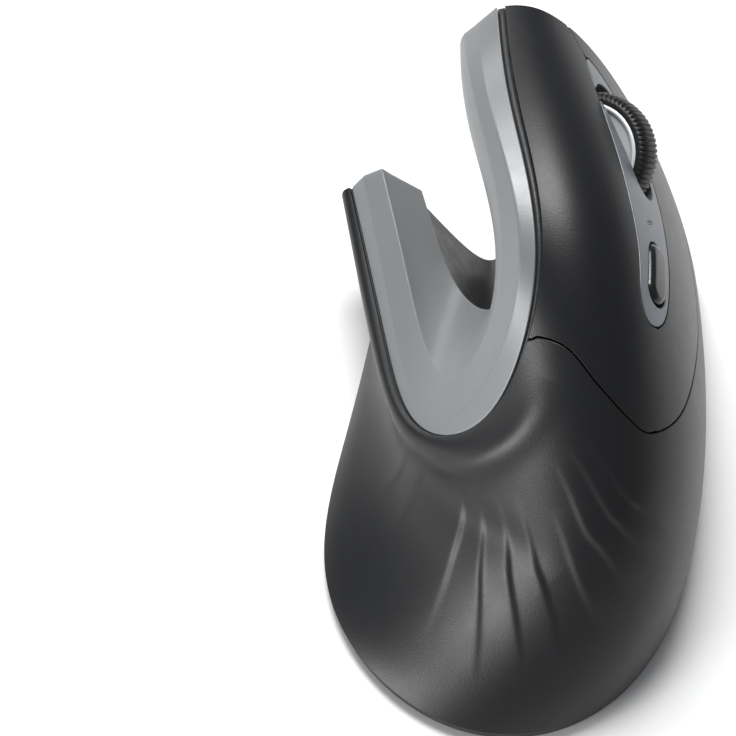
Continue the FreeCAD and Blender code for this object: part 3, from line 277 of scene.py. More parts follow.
def clipped_grid(us, vs, value):
    """Cells of a parameter grid cut along value = 0; corners close to the cut move onto it."""
    nu, nv = len(us), len(vs)
    uu, vv = [g.ravel().copy() for g in np.meshgrid(us, vs, indexing="ij")]
    d = value(uu, vv)
    ids = np.arange(nu * nv).reshape(nu, nv)
    pairs = np.concatenate([np.stack([ids[:-1].ravel(), ids[1:].ravel()], -1),
                            np.stack([ids[:, :-1].ravel(), ids[:, 1:].ravel()], -1)])
    a, b = pairs.T
    cut = pairs[(d[a] > 0) != (d[b] > 0)]
    nearest = {}
    for i, j in cut:
        t = d[i] / (d[i] - d[j])
        for k, other, share in ((i, j, t), (j, i, 1 - t)):
            if share < 0.3 and share < nearest.get(k, (1,))[0]:
                nearest[k] = (share, other)
    old_u, old_v = uu.copy(), vv.copy()
    for k, (share, other) in nearest.items():
        uu[k] = old_u[k] + (old_u[other] - old_u[k]) * share
        vv[k] = old_v[k] + (old_v[other] - old_v[k]) * share
        d[k] = 0
    extra_u, extra_v, made = [], [], {}

    def crossing(i, j):
        key = (min(i, j), max(i, j))
        if key not in made:
            t = d[i] / (d[i] - d[j])
            extra_u.append(uu[i] + (uu[j] - uu[i]) * t)
            extra_v.append(vv[i] + (vv[j] - vv[i]) * t)
            made[key] = nu * nv + len(extra_u) - 1
        return made[key]

    faces = []
    whole = (d[ids] >= 0)
    for i in range(nu - 1):
        for j in range(nv - 1):
            if not whole[i:i + 2, j:j + 2].any():
                continue
            cell = [ids[i, j], ids[i + 1, j], ids[i + 1, j + 1], ids[i, j + 1]]
            if not any(d[k] > 0 for k in cell):
                continue
            face = []
            for k, nxt in zip(cell, cell[1:] + cell[:1]):
                if d[k] >= 0:
                    face.append(k)
                if d[k] * d[nxt] < 0:
                    face.append(crossing(k, nxt))
            if len(face) > 2:
                faces.append([int(k) for k in face])
    uu = np.concatenate([uu, extra_u])
    vv = np.concatenate([vv, extra_v])
    used = sorted({k for f in faces for k in f})
    renumber = {k: n for n, k in enumerate(used)}
    faces = [[renumber[k] for k in f] for f in faces]
    return uu[used], vv[used], faces


def face_normals(points, faces):
    """Vertex normals averaged from the faces around each vertex."""
    total = np.zeros_like(points)
    for size in {len(f) for f in faces}:
        rows = np.array([f for f in faces if len(f) == size])
        across = np.cross(points[rows[:, 2]] - points[rows[:, 0]],
                          points[rows[:, -1]] - points[rows[:, 1]])
        for k in range(size):
            np.add.at(total, rows[:, k], across)
    return unit(total)


def panel(name, surface, us, vs, inside, edge=0.25, depth=1.8, edge_at=None, relief=None):
    """Closed sheet with rounded rims.

    surface(u, v) gives points and outward normals; inside(points, u, v) is the distance in
    millimetres to the outline, positive on the kept side; relief(points) is a height."""
    def value(u, v):
        return inside(surface(u, v)[0], u, v) - edge

    u, v, faces = clipped_grid(us, vs, value)
    points, normals = surface(u, v)
    f = faces[len(faces) // 2]
    turn = np.cross(points[f[1]] - points[f[0]], points[f[2]] - points[f[0]])
    if turn.dot(normals[f[0]]) < 0:
        faces = [face[::-1] for face in faces]
    base = points
    if relief is not None:
        height = relief(points)
        points = points + normals * height[:, None]
        normals = np.where(np.abs(height[:, None]) > 2e-4, face_normals(points, faces), normals)
    count = len(points)
    corner_normals = [normals[k] for face in faces for k in face]
    all_points = [points, base - surface(u, v)[1] * depth]
    all_faces = list(faces)
    total = 2 * count
    inner = [[k + count for k in face[::-1]] for face in faces]
    steps = 3
    for loop in boundary_loops(faces):
        p, n = points[loop], normals[loop]
        ahead = unit(np.roll(p, -1, 0) - p)
        behind = unit(p - np.roll(p, 1, 0))
        out_a, out_b = unit(np.cross(ahead, n)), unit(np.cross(behind, n))
        out = unit(out_a + out_b)
        stretch = 1 / np.clip((out * out_a).sum(-1), 0.65, 1)
        radius = np.full(len(loop), edge)
        if edge_at is not None:
            radius = edge * edge_at(p)
        reach = (stretch * radius)[:, None]
        rings, slants = [np.array(loop)], [n]
        for k in range(1, steps + 1):
            a = k * math.pi / (2 * steps)
            ring = (p + out * reach * math.sin(a)
                    - n * (radius * (1 - math.cos(a)))[:, None])
            all_points.append(ring)
            rings.append(np.arange(len(loop)) + total)
            total += len(loop)
            slants.append(unit(n * math.cos(a) + out * math.sin(a)))
        all_points.append(p + out * reach - n * depth)
        rings.append(np.arange(len(loop)) + total)
        total += len(loop)
        slants.append(slants[-1])
        for r in range(len(rings) - 1):
            for k in range(len(loop)):
                m = (k + 1) % len(loop)
                all_faces.append([int(rings[r][m]), int(rings[r][k]),
                                  int(rings[r + 1][k]), int(rings[r + 1][m])])
                corner_normals += [slants[r][m], slants[r][k],
                                   slants[r + 1][k], slants[r + 1][m]]
        back = np.array(loop) + count
        for k in range(len(loop)):
            m = (k + 1) % len(loop)
            all_faces.append([int(rings[-1][m]), int(rings[-1][k]), int(back[k]), int(back[m])])
            corner_normals += [-n[m], -n[k], -n[k], -n[m]]
    all_faces += inner
    corner_normals += [-normals[k - count] for face in inner for k in face]
    return make_object(name, np.concatenate(all_points), all_faces,
                       [tuple(c) for c in np.asarray(corner_normals)])


WINDOW_MARGIN = 1.0


def window(surface, inside, us, vs, cell):
    """Finer parameter ranges around the part of a surface that an outline keeps."""
    uu, vv = [g.ravel() for g in np.meshgrid(us, vs, indexing="ij")]
    points = surface(uu, vv)[0]
    kept = inside(points, uu, vv) > -WINDOW_MARGIN
    u0, u1 = uu[kept].min(), uu[kept].max()
    v0, v1 = vv[kept].min(), vv[kept].max()
    mid_u, mid_v = (u0 + u1) / 2, (v0 + v1) / 2
    ends = surface(np.array([u0, u1, mid_u, mid_u]), np.array([mid_v, mid_v, v0, v1]))[0]
    count_u = int(np.linalg.norm(ends[1] - ends[0]) / cell) + 2
    count_v = int(np.linalg.norm(ends[3] - ends[2]) / cell) + 2
    return np.linspace(u0, u1, count_u), np.linspace(v0, v1, count_v)


def loft(name, rings, capped=True, groups=None):
    """Mesh through rings of equal length, with optional flat ends."""
    rings = [np.asarray(r) for r in rings]
    size = len(rings[0])
    faces, marks = [], []
    for i in range(len(rings) - 1):
        for j in range(size):
            k = (j + 1) % size
            faces.append([i * size + j, i * size + k, (i + 1) * size + k, (i + 1) * size + j])
            marks.append(groups[j] if groups else 0)
    if capped:
        faces.append(list(range(size))[::-1])
        faces.append([(len(rings) - 1) * size + j for j in range(size)])
        marks += [0, 0]
    return make_object(name, np.concatenate(rings), faces, groups=marks)


# ---------------------------------------------------------------------------
# Outlines on the skin
# ---------------------------------------------------------------------------

GAP = 0.22
seam_points = [(-9.0, -4.0, 60.5), (0.8, -7.1, 62.9), (3.5, -7.6, 64.7), (8.8, -10.3, 64.8),
               (14.2, -15.4, 60.7), (20.1, -19.3, 54.9), (24.3, -19.6, 50.7),
               (29.9, -13.1, 45.5), (33.7, 0, 39.6), (36.1, 17.6, 31.5), (35.5, 36, 28.5),
               (33.5, 60, 27.0)]
seam = smooth_path([KEYS.local(at(*p))[:2] for p in seam_points], steps=12)
KEY_POLYGON = np.concatenate([seam, [seam[-1] + (0, 30), seam[0] + (0, 90)]])
STRIP_POINTS = [(-4.8, 11.5), (-6.1, 4), (-7.0, -5), (-7.6, -15), (-7.6, -25), (-7.8, -33),
                (-5.6, -38.0), (-1.5, -38.4), (2.0, -35), (5.2, -27), (7.6, -18), (8.8, -9),
                (8.2, 0), (5.6, 8), (1.6, 14.2), (-2.6, 17.8)]
STRIP_POLYGON = smooth_path(STRIP_POINTS, closed=True, steps=8)
SPLIT = np.array([(-7.5, 60), (-4.2, 24), (-3.0, 17), (-2.0, -38), (1.0, -57), (3.0, -90)])
CAPSULE = ((-1.0, -28.4), math.radians(-14), 12.6, 6.4)
DASH = ((-0.7, -18.0), math.radians(106), 2.6, 0.7)
SLOT = ((0.5, 0.0), WHEEL_TURN, 24.5, 8.0)
STRIP_END = -38.0


def skin_point(u, v):
    return net_point(SKIN, u, v)


probe = with_normal(skin_point, np.array([0.2]), np.array([0.4]), 1)[1][0]
SKIN_SIDE = 1 if probe[0] > 0 else -1


def skin(u, v):
    return with_normal(skin_point, u, v, SKIN_SIDE)


def raised(height):
    def surface(u, v):
        points, normals = skin(u, v)
        return points + normals * height, normals
    return surface


def groove_start(u):
    """Skin parameter at which the skin begins beside the thumb band."""
    return np.interp(u, [0, 0.16, 0.33, 0.42, 0.62, 0.8, 1],
                     [0.019, 0.015, 0.011, 0.008, 0.0085, 0.013, 0.015])


def groove_pace(u):
    """Millimetres of skin per unit of its second parameter beside the band."""
    return 15 * np.interp(u, np.linspace(0, 1, 13),
                          np.linalg.norm(SKIN[:, 1] - SKIN[:, 0], axis=1))


def edge_room(u, v):
    """Room left to the groove beside the thumb band."""
    return (v - groove_start(u)) * groove_pace(u)


def key_distance(points):
    local = KEYS.local(points)
    d = polygon_distance(local[:, :2], KEY_POLYGON)
    return np.where(local[:, 2] > -46, d, -20)


def split_side(local):
    """Distance to the line between the two keys, positive on the right-hand key."""
    line = np.interp(-local[:, 1], -SPLIT[:, 1], SPLIT[:, 0])
    return local[:, 0] - line


def in_shell(points, u, v):
    return np.minimum(-key_distance(points) - GAP, edge_room(u, v))


def behind_strip(local):
    """1 ahead of the strip's rear end, 0 behind it, where both keys are one panel."""
    return np.clip((local[:, 1] - STRIP_END) / 1.0, 0, 1)


def in_key(side):
    def inside(points, u, v):
        local = PALM.local(points)
        strip = polygon_distance(local[:, :2], STRIP_POLYGON)
        ahead = behind_strip(local)
        half = side * split_side(local) - GAP / 2 * ahead + 0.25 * (1 - ahead)
        room = edge_room(u, v)
        return np.minimum.reduce([key_distance(points), -strip - GAP, half, room])
    return inside


def in_strip(points, u, v):
    local = PALM.local(points)
    d = polygon_distance(local[:, :2], STRIP_POLYGON)
    slot = -capsule_distance(local, *SLOT)
    centre, turn, length, width = CAPSULE
    capsule = -capsule_distance(local, centre, turn, length + 0.7, width + 0.7)
    dash = -capsule_distance(local, *DASH)
    near = np.where(local[:, 2] > -15, 0, -20)
    return np.minimum.reduce([d, slot, capsule, dash, d + near])


def in_capsule(points, u, v):
    local = PALM.local(points)
    return np.where(local[:, 2] > -15, capsule_distance(local, *CAPSULE), -20)


def in_dash(points, u, v):
    local = PALM.local(points)
    return np.where(local[:, 2] > -15, capsule_distance(local, *DASH), -20)


# ---------------------------------------------------------------------------
# Soft pleats pressed into the rear of the shell, each a path of skin parameters with the
# side on which it stands proud, its height and its spread in millimetres.  All but the end
# points of nine of the ten paths were measured from the photograph by a separate program.
# ---------------------------------------------------------------------------

PLEATS = [
    ([(0.724, 0.30), (0.75, 0.47), (0.79, 0.66)], 1, 0.26, 4.0),
    ([(0.672, 0.30), (0.704, 0.478), (0.735, 0.66)], 1, 0.28, 4.0),
    ([(0.604, 0.30), (0.616, 0.512), (0.628, 0.635), (0.65, 0.86)], 1, 0.42, 5.0),
    ([(0.583, 0.36), (0.590, 0.585), (0.592, 0.698), (0.591, 0.90)], 1, 0.50, 4.4),
    ([(0.557, 0.38), (0.561, 0.57), (0.560, 0.688), (0.549, 0.88)], 1, 0.50, 4.4),
    ([(0.532, 0.38), (0.534, 0.588), (0.529, 0.67), (0.517, 0.84)], 1, 0.46, 4.6),
    ([(0.502, 0.46), (0.498, 0.652), (0.482, 0.80)], -1, 0.40, 4.6),
    ([(0.470, 0.32), (0.476, 0.528), (0.466, 0.618), (0.448, 0.76)], -1, 0.52, 5.0),
    ([(0.444, 0.30), (0.446, 0.512), (0.438, 0.592), (0.418, 0.74)], -1, 0.52, 5.0),
    ([(0.420, 0.31), (0.420, 0.512), (0.409, 0.595), (0.386, 0.74)], -1, 0.50, 5.0),
]


# Broad swells and hollows around the foot of the thumb band: skin parameters, height and
# width in millimetres.  All but the end points were measured in the same way.
ROLLS = [
    ([(0.67, 0.22), (0.631, 0.235), (0.586, 0.235), (0.53, 0.192), (0.48, 0.168),
      (0.431, 0.145), (0.39, 0.12)], 0.9, 3.2),
    ([(0.73, 0.33), (0.694, 0.365), (0.638, 0.42), (0.595, 0.49), (0.561, 0.538),
      (0.539, 0.595), (0.52, 0.66)], -0.8, 4.5),
]


PLEAT_STEP = 0.26
SEAM_FADE = 3.0


def pleat_paths():
    made = []
    for path, side, height, spread in PLEATS:
        fine = smooth_path(path, steps=14)
        points, normals = skin(fine[:, 0], fine[:, 1])
        forward = unit(np.gradient(points, axis=0))
        made.append((points, np.cross(forward, normals), side, height, spread))
    return made


PLEAT_PATHS = pleat_paths()


def path_places(points, path, sideways, reach=14):
    """Points near a path, their signed distance to it and how far along it they are."""
    low, high = path.min(0) - reach, path.max(0) + reach
    near = np.flatnonzero(((points > low) & (points < high)).all(-1))
    edge = path[1:] - path[:-1]
    length2 = (edge ** 2).sum(-1)
    for start in range(0, len(near), 8000):
        rows = near[start:start + 8000]
        rel = points[rows][:, None] - path[None, :-1]
        t = np.clip((rel * edge).sum(-1) / length2, 0, 1)
        off = rel - t[..., None] * edge
        k = (off ** 2).sum(-1).argmin(-1)
        pick = np.arange(len(rows))
        t, off = t[pick, k], off[pick, k]
        turned = sideways[k] * (1 - t)[:, None] + sideways[k + 1] * t[:, None]
        yield rows, (off * turned).sum(-1), (k + t) / len(edge)


def pleat_height(points):
    """Height of all pleats and rolls; a pleat has a short steep side and a long soft one."""
    total = np.zeros(len(points))
    for path, sideways, side, height, spread in PLEAT_PATHS:
        for rows, across, along in path_places(points, path, sideways):
            across = across * side
            rise = 1 / (1 + np.exp(-across / PLEAT_STEP))
            fall = np.exp(-(np.clip(across, 0, None) / spread) ** 1.5)
            total[rows] += height * np.sin(np.pi * along) ** 1.2 * rise * fall
    for path, height, half in ROLLS:
        fine = smooth_path(path, steps=6)
        centre, normals = skin(fine[:, 0], fine[:, 1])
        sideways = np.cross(unit(np.gradient(centre, axis=0)), normals)
        for rows, across, along in path_places(points, centre, sideways, 20):
            total[rows] += height * np.sin(np.pi * along) ** 1.2 * np.exp(-(across / half) ** 2)
    return total * np.clip((-key_distance(points) - GAP) / SEAM_FADE, 0, 1)


# ---------------------------------------------------------------------------
# Skin panels
# ---------------------------------------------------------------------------

def spread(counts, breaks):
    """Parameters with their own density between breaks."""
    parts = [np.linspace(a, b, n, endpoint=False)
             for a, b, n in zip(breaks, breaks[1:], counts)]
    return np.concatenate(parts + [[breaks[-1]]])


U_FIRST, U_LAST = 0.0006, 0.9994
V_FIRST, V_LAST = 0.004, 0.9975
U_ALL = spread([90, 190, 110], [U_FIRST, 0.34, 0.68, U_LAST])
V_ALL = spread([26, 110, 40], [V_FIRST, 0.12, 0.80, V_LAST])
V_ALL[-1] = V_LAST
U_ALL[-1] = U_LAST
coarse_u, coarse_v = np.linspace(U_FIRST, U_LAST, 160), np.linspace(V_FIRST, V_LAST, 120)


def on_key_rim(points):
    """Rims are sharp only where the two keys run on as one panel."""
    local = PALM.local(points)
    near = np.abs(split_side(local)) < 0.6
    return np.where(near & (local[:, 1] < STRIP_END), 0.02, 1.0)


back_shell = panel("back_shell_skin", skin, U_ALL, V_ALL, in_shell, edge=0.2,
                   relief=pleat_height)
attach(back_shell, "housing")
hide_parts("back_shell")
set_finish(back_shell, "shell_black")

KEY_U = spread([260], [U_FIRST, 0.40])
KEY_V = spread([24, 190], [V_FIRST, 0.08, 0.86])
for side, node in ((-1, "left_button"), (1, "right_button")):
    key = panel(node + "_skin", skin, KEY_U, KEY_V, in_key(side), edge=0.18,
                edge_at=on_key_rim)
    PALM.world(0, -44, 0) * MM
    PALM.world(0, -18, 0) * MM
    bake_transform(key)
    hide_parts(node)
    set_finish(key, "key_black")

us, vs = window(skin, in_strip, coarse_u, coarse_v, 0.3)
strip = panel("centre_strip_skin", skin, us, vs, in_strip, edge=0.22, depth=2.2)
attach(strip, "housing")
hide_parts("centre_strip")
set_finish(strip, "strip_grey")

us, vs = window(skin, in_capsule, coarse_u, coarse_v, 0.16)
capsule = panel("dpi_capsule", raised(0.75), us, vs, in_capsule, edge=1.5, depth=3.2)
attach(capsule, "dpi_key")
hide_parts("dpi_button")
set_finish(capsule, "button_black")

us, vs = window(skin, in_dash, coarse_u, coarse_v, 0.07)
dash = panel("indicator_dash", raised(-0.08), us, vs, in_dash, edge=0.08, depth=1.6)
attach(dash, "housing")
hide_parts("indicator_light")
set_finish(dash, "light_dash")


# ---------------------------------------------------------------------------
# U-shaped band with its facets
# ---------------------------------------------------------------------------

EDGES = {"A": EDGE_A, "B": EDGE_B, "C": EDGE_C, "M": EDGE_M, "D": EDGE_D}
EDGES = {key: np.array(poles) for key, poles in EDGES.items()}
LAST = len(EDGE_A) - 1


def facet_inward(first, second):
    """Unit vectors from a facet between two edges into the body."""
    made = []
    for i in range(LAST + 1):
        low, high = max(i - 1, 0), min(i + 1, LAST)
        n = unit(np.cross(first[high] - first[low], second[i] - first[i]))
        if i in (0, LAST):
            n = unit(n - RAKE_NORMAL * n.dot(RAKE_NORMAL))
        made.append(n)
    return np.array(made)


def pole_normals():
    knots = np.concatenate([np.zeros(3), np.linspace(0, 1, LAST - 1), np.ones(3)])
    stations = np.array([knots[i + 1:i + 4].mean() for i in range(LAST + 1)])
    u = np.clip(stations, 0.001, 0.999)
    made = skin(u, np.full(len(u), 0.001))[1]
    for i in (0, LAST):
        made[i] = unit(made[i] - RAKE_NORMAL * made[i].dot(RAKE_NORMAL))
    return made


TRIM_DEPTH = 1.5
EDGES["BACK_A"] = EDGES["A"] - pole_normals() * TRIM_DEPTH
EDGES["BACK_C"] = EDGES["C"] + facet_inward(EDGES["A"], EDGES["D"]) * TRIM_DEPTH
inward_d = facet_inward(EDGES["M"], EDGES["D"])
EDGES["BACK_D"] = EDGES["D"] + inward_d * TRIM_DEPTH
LINING_EDGE = EDGES["D"] + inward_d * (TRIM_DEPTH + 0.45)


def rounded(before, corner, after, radius, steps=4):
    """Points that replace a corner by a small arc, one row of points per station."""
    one = corner + unit(before - corner) * radius
    two = corner + unit(after - corner) * radius
    far_one = corner + unit(before - corner) * radius * 2.2
    far_two = corner + unit(after - corner) * radius * 2.2
    rows = [far_one]
    for k in range(steps + 1):
        t = k / steps
        rows.append(one * (1 - t) ** 2 + corner * 2 * t * (1 - t) + two * t ** 2)
    rows.append(far_two)
    return rows


def trim_sections(ts):
    e = {key: spline(poles, ts) for key, poles in EDGES.items()}
    bend = [e["C"] * (1 - t) ** 2 + e["M"] * 2 * t * (1 - t) + e["D"] * t ** 2
            for t in np.linspace(0, 1, 14)]
    rows = rounded(e["BACK_A"], e["A"], e["B"], 0.22)
    marks = [1] * 3 + [0] * (len(rows) - 3)
    rows += rounded(e["A"], e["B"], e["C"], 0.30)
    rows += rounded(e["B"], e["C"], bend[1], 0.30)
    rows += bend[2:-1]
    rows += rounded(bend[-2], e["D"], e["BACK_D"], 0.25)
    marks += [0] * (len(rows) - len(marks))
    rows += [e["BACK_D"], e["BACK_C"], e["BACK_A"]]
    marks += [0, 1, 1]
    return np.stack(rows, 1), marks


def band_stations(count):
    t = np.linspace(0, 1, count)
    ends = np.array([0, 0.0006, 0.0012])
    return np.concatenate([ends, t[1:-1], 1 - ends[::-1]])


stations = band_stations(240)
sections, marks = trim_sections(stations)
rings = []
for i, ring in enumerate(sections):
    from_end = min(i, len(sections) - 1 - i)
    shrink = {0: 0.30, 1: 0.09, 2: 0.0}.get(from_end, 0.0)
    middle = ring.mean(axis=0)
    rings.append(ring + unit(middle - ring) * shrink)
trim = loft("thumb_band", rings, groups=marks)
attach(trim, "housing")
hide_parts("thumb_trim")
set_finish(trim, "trim_grey")


# Dark gasket that fills the bottom of the groove between the band and the skin.
groove_u = np.linspace(0.0004, 0.9996, 240)
groove_v = groove_start(groove_u) - 0.10 / groove_pace(groove_u)
band_side, band_normal = skin(groove_u, np.full(240, 0.0005))
skin_side, skin_normal = skin(groove_u, groove_v)
band_low = spline(EDGES["BACK_A"], groove_u)
groove_rings = np.stack([band_side - band_normal * 0.55, skin_side - skin_normal * 0.55,
                         skin_side - skin_normal * 2.7, band_low - skin_normal * 1.2], 1)
gasket = loft("groove_gasket", list(groove_rings))
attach(gasket, "housing")
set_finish(gasket, "frame_black")


# ---------------------------------------------------------------------------
# Lining of the thumb hollow with its two buttons
# ---------------------------------------------------------------------------

REAR_U = 0.42
LINING_END = 0.94
FRONT_POLES = np.array([LINING_EDGE[0], on_rake(-3.2, 61.5), on_rake(0.0, 58.0),
                        on_rake(0.4, 50), on_rake(1.2, 38), on_rake(1.4, 22),
                        on_rake(1.2, 9.5), on_rake(-3.0, 3.9), on_rake(-8.2, 9.0),
                        LINING_EDGE[-1]])


def hollow_point(s, t):
    """Coons patch: s runs from the front to the rear, t from the roof to the floor."""
    s, t = s[:, None], t[:, None]

    def rim(x):
        return spline(LINING_EDGE, x.ravel())

    roof, floor = rim(REAR_U * s), rim(1 - REAR_U * s)
    front = spline(FRONT_POLES, t.ravel())
    rear = rim(REAR_U + (1 - 2 * REAR_U) * t)
    sides = front * (1 - s) + rear * s + roof * (1 - t) + floor * t
    corner = [spline(LINING_EDGE, x)[0] for x in (0, 1, REAR_U, 1 - REAR_U)]
    corners = (corner[0] * ((1 - s) * (1 - t)) + corner[1] * ((1 - s) * t)
               + corner[2] * (s * (1 - t)) + corner[3] * (s * t))
    return sides - corners


net_s, net_t = np.meshgrid(np.linspace(0, LINING_END, 9), np.linspace(0, 1, 19), indexing="ij")
LINING = hollow_point(net_s.ravel(), net_t.ravel()).reshape(9, 19, 3)


def lining_point(u, v):
    return net_point(LINING, u, v)


probe = with_normal(lining_point, np.array([0.3]), np.array([0.4]), 1)[1][0]
LINING_SIDE = 1 if probe[0] < 0 else -1


def lining(u, v):
    return with_normal(lining_point, u, v, LINING_SIDE)


def thumb_key(u, v):
    points, normals = lining(u, v)
    return points + normals * 1.0, normals


THUMB_KEYS = {"back": (19.0, 40.0), "forward": (36.5, 41.0)}


def thumb_distance(points, name, grow=0.0):
    y, z = THUMB_KEYS[name]
    local = np.stack([points[:, 2], points[:, 1]], -1)
    d = capsule_distance(local, (z, y), 0.0, 15.0 + 2 * grow, 6.0 + 2 * grow)
    return np.where(points[:, 0] > -8.5, d, -20)


def in_lining(points, u, v):
    holes = [-thumb_distance(points, name, 0.4) for name in THUMB_KEYS]
    return np.minimum.reduce(holes + [np.full(len(points), 5.0)])


us = np.linspace(0.001, 0.999, 110)
vs = np.linspace(0.0005, 0.9995, 230)
hollow = panel("thumb_lining", lining, us, vs, in_lining, edge=0.2, depth=1.3)
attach(hollow, "housing")
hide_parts("thumb_panel")
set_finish(hollow, "lining_dark")
for name in THUMB_KEYS:
    def in_button(points, u, v, name=name):
        return thumb_distance(points, name)
    su, sv = window(lining, in_button, us[::2], vs[::2], 0.25)
    button = panel(name + "_key_cap", thumb_key, su, sv, in_button, edge=0.9, depth=3.0)
    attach(button, name + "_key")
    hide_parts(name + "_button")
    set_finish(button, "button_black")


# ---------------------------------------------------------------------------
# Scroll wheel
# ---------------------------------------------------------------------------

turn = np.array([[math.cos(WHEEL_TURN), math.sin(WHEEL_TURN)],
                 [-math.sin(WHEEL_TURN), math.cos(WHEEL_TURN)]])
WHEEL_CENTRE = PALM.world(0.5, 0, -WHEEL_DEPTH)
AXLE = PALM.across * turn[0, 0] + PALM.forward * turn[0, 1]
ALONG = PALM.across * turn[1, 0] + PALM.forward * turn[1, 1]
RIBS = 72


def wheel_ring(x, radii, count):
    a = np.arange(count) * 2 * math.pi / count
    r = np.broadcast_to(radii, (count,))
    return (WHEEL_CENTRE + AXLE * x
            + ALONG * (r * np.sin(a))[:, None] + PALM.normal * (r * np.cos(a))[:, None])


def tyre_rings():
    half = 3.4
    profile = [(-half, 9.8, 0), (-half, 10.4, 0), (-half + 0.05, 10.75, 0.1),
               (-3.1, 11.15, 0.5), (-2.75, 11.5, 0.9), (-2.2, 11.8, 1), (-1.4, 11.93, 1),
               (-0.5, 12.0, 1), (0.5, 12.0, 1), (1.4, 11.93, 1), (2.2, 11.8, 1),
               (2.75, 11.5, 0.9), (3.1, 11.15, 0.5), (half - 0.05, 10.75, 0.1),
               (half, 10.4, 0), (half, 9.8, 0)]
    steps = 8
    phase = np.tile(np.arange(steps) / steps, RIBS)
    groove = np.clip(1.25 * np.sin(math.pi * phase) ** 0.7 - 0.05, 0, 1)
    return [wheel_ring(x, r - 0.55 * share * (1 - groove), RIBS * steps)
            for x, r, share in profile]


rings = tyre_rings()
tyre = loft("wheel_tread", rings + [rings[0]], capped=False)
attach(tyre, "wheel")
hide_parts("wheel_tyre")
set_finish(tyre, "wheel_rubber")

half_hub = [(8.0, 0.02), (8.0, 0.85), (7.85, 1.0), (3.2, 1.0), (3.2, 2.2), (3.0, 2.6), (2.7, 2.9),
            (2.6, 4.5), (2.65, 6.5), (2.85, 8.2), (3.05, 8.8), (3.40, 9.0), (3.46, 9.2),
            (3.46, 9.72)]
hub_profile = [(-x, r) for x, r in half_hub] + half_hub[::-1]
hub = loft("wheel_core", [wheel_ring(x, r, 96) for x, r in hub_profile])
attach(hub, "wheel")
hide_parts("wheel_hub")
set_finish(hub, "wheel_silver")


# ---------------------------------------------------------------------------
# Materials
# ---------------------------------------------------------------------------

PATCH = 55.0
GRAIN_HEIGHT = 0.00008


def mapped_noise(tree, scale, detail, low, high, roughness=0.55):
    """Noise in the object's own coordinates, mapped to a narrow range."""
    coords = tree.nodes.new("ShaderNodeTexCoord")
    noise = tree.nodes.new("ShaderNodeTexNoise")
    noise.inputs["Scale"].default_value = scale
    noise.inputs["Detail"].default_value = detail
    noise.inputs["Roughness"].default_value = roughness
    ramp = tree.nodes.new("ShaderNodeMapRange")
    ramp.inputs["From Min"].default_value = 0.3
    ramp.inputs["From Max"].default_value = 0.7
    ramp.inputs["To Min"].default_value = low
    ramp.inputs["To Max"].default_value = high
    tree.links.new(coords.outputs["Object"], noise.inputs["Vector"])
    tree.links.new(noise.outputs["Fac"], ramp.inputs["Value"])
    return ramp


def finish(name, colour, rough, metallic=0.0, grain=1800.0, bump=0.12,
           wander=0.06, tint=0.10, coat=0.0, specular=0.5):
    """Moulded, painted or metal finish with grain, colour drift and uneven gloss."""
    made = bpy.data.materials.get(name) or bpy.data.materials.new(name)
    made.use_nodes = True
    tree = made.node_tree
    tree.nodes.clear()
    out = tree.nodes.new("ShaderNodeOutputMaterial")
    shader = tree.nodes.new("ShaderNodeBsdfPrincipled")
    tree.links.new(shader.outputs["BSDF"], out.inputs["Surface"])
    shader.inputs["Metallic"].default_value = metallic
    shader.inputs["Coat Weight"].default_value = coat
    shader.inputs["Coat Roughness"].default_value = 0.12
    shader.inputs["Specular IOR Level"].default_value = specular
    drift = mapped_noise(tree, PATCH, 3.0, 0.0, 1.0)
    mix = tree.nodes.new("ShaderNodeMix")
    mix.data_type = "RGBA"
    mix.inputs["A"].default_value = tuple(c * (1 - tint) for c in colour) + (1,)
    mix.inputs["B"].default_value = tuple(c * (1 + tint) for c in colour) + (1,)
    tree.links.new(drift.outputs["Result"], mix.inputs["Factor"])
    tree.links.new(mix.outputs["Result"], shader.inputs["Base Color"])
    gloss = mapped_noise(tree, PATCH * 6, 4.0, rough - wander, rough + wander)
    tree.links.new(gloss.outputs["Result"], shader.inputs["Roughness"])
    height = mapped_noise(tree, grain, 2.0, 0.0, 1.0, 0.6)
    ridge = tree.nodes.new("ShaderNodeBump")
    ridge.inputs["Strength"].default_value = bump
    ridge.inputs["Distance"].default_value = GRAIN_HEIGHT
    tree.links.new(height.outputs["Result"], ridge.inputs["Height"])
    tree.links.new(ridge.outputs["Normal"], shader.inputs["Normal"])
    return made


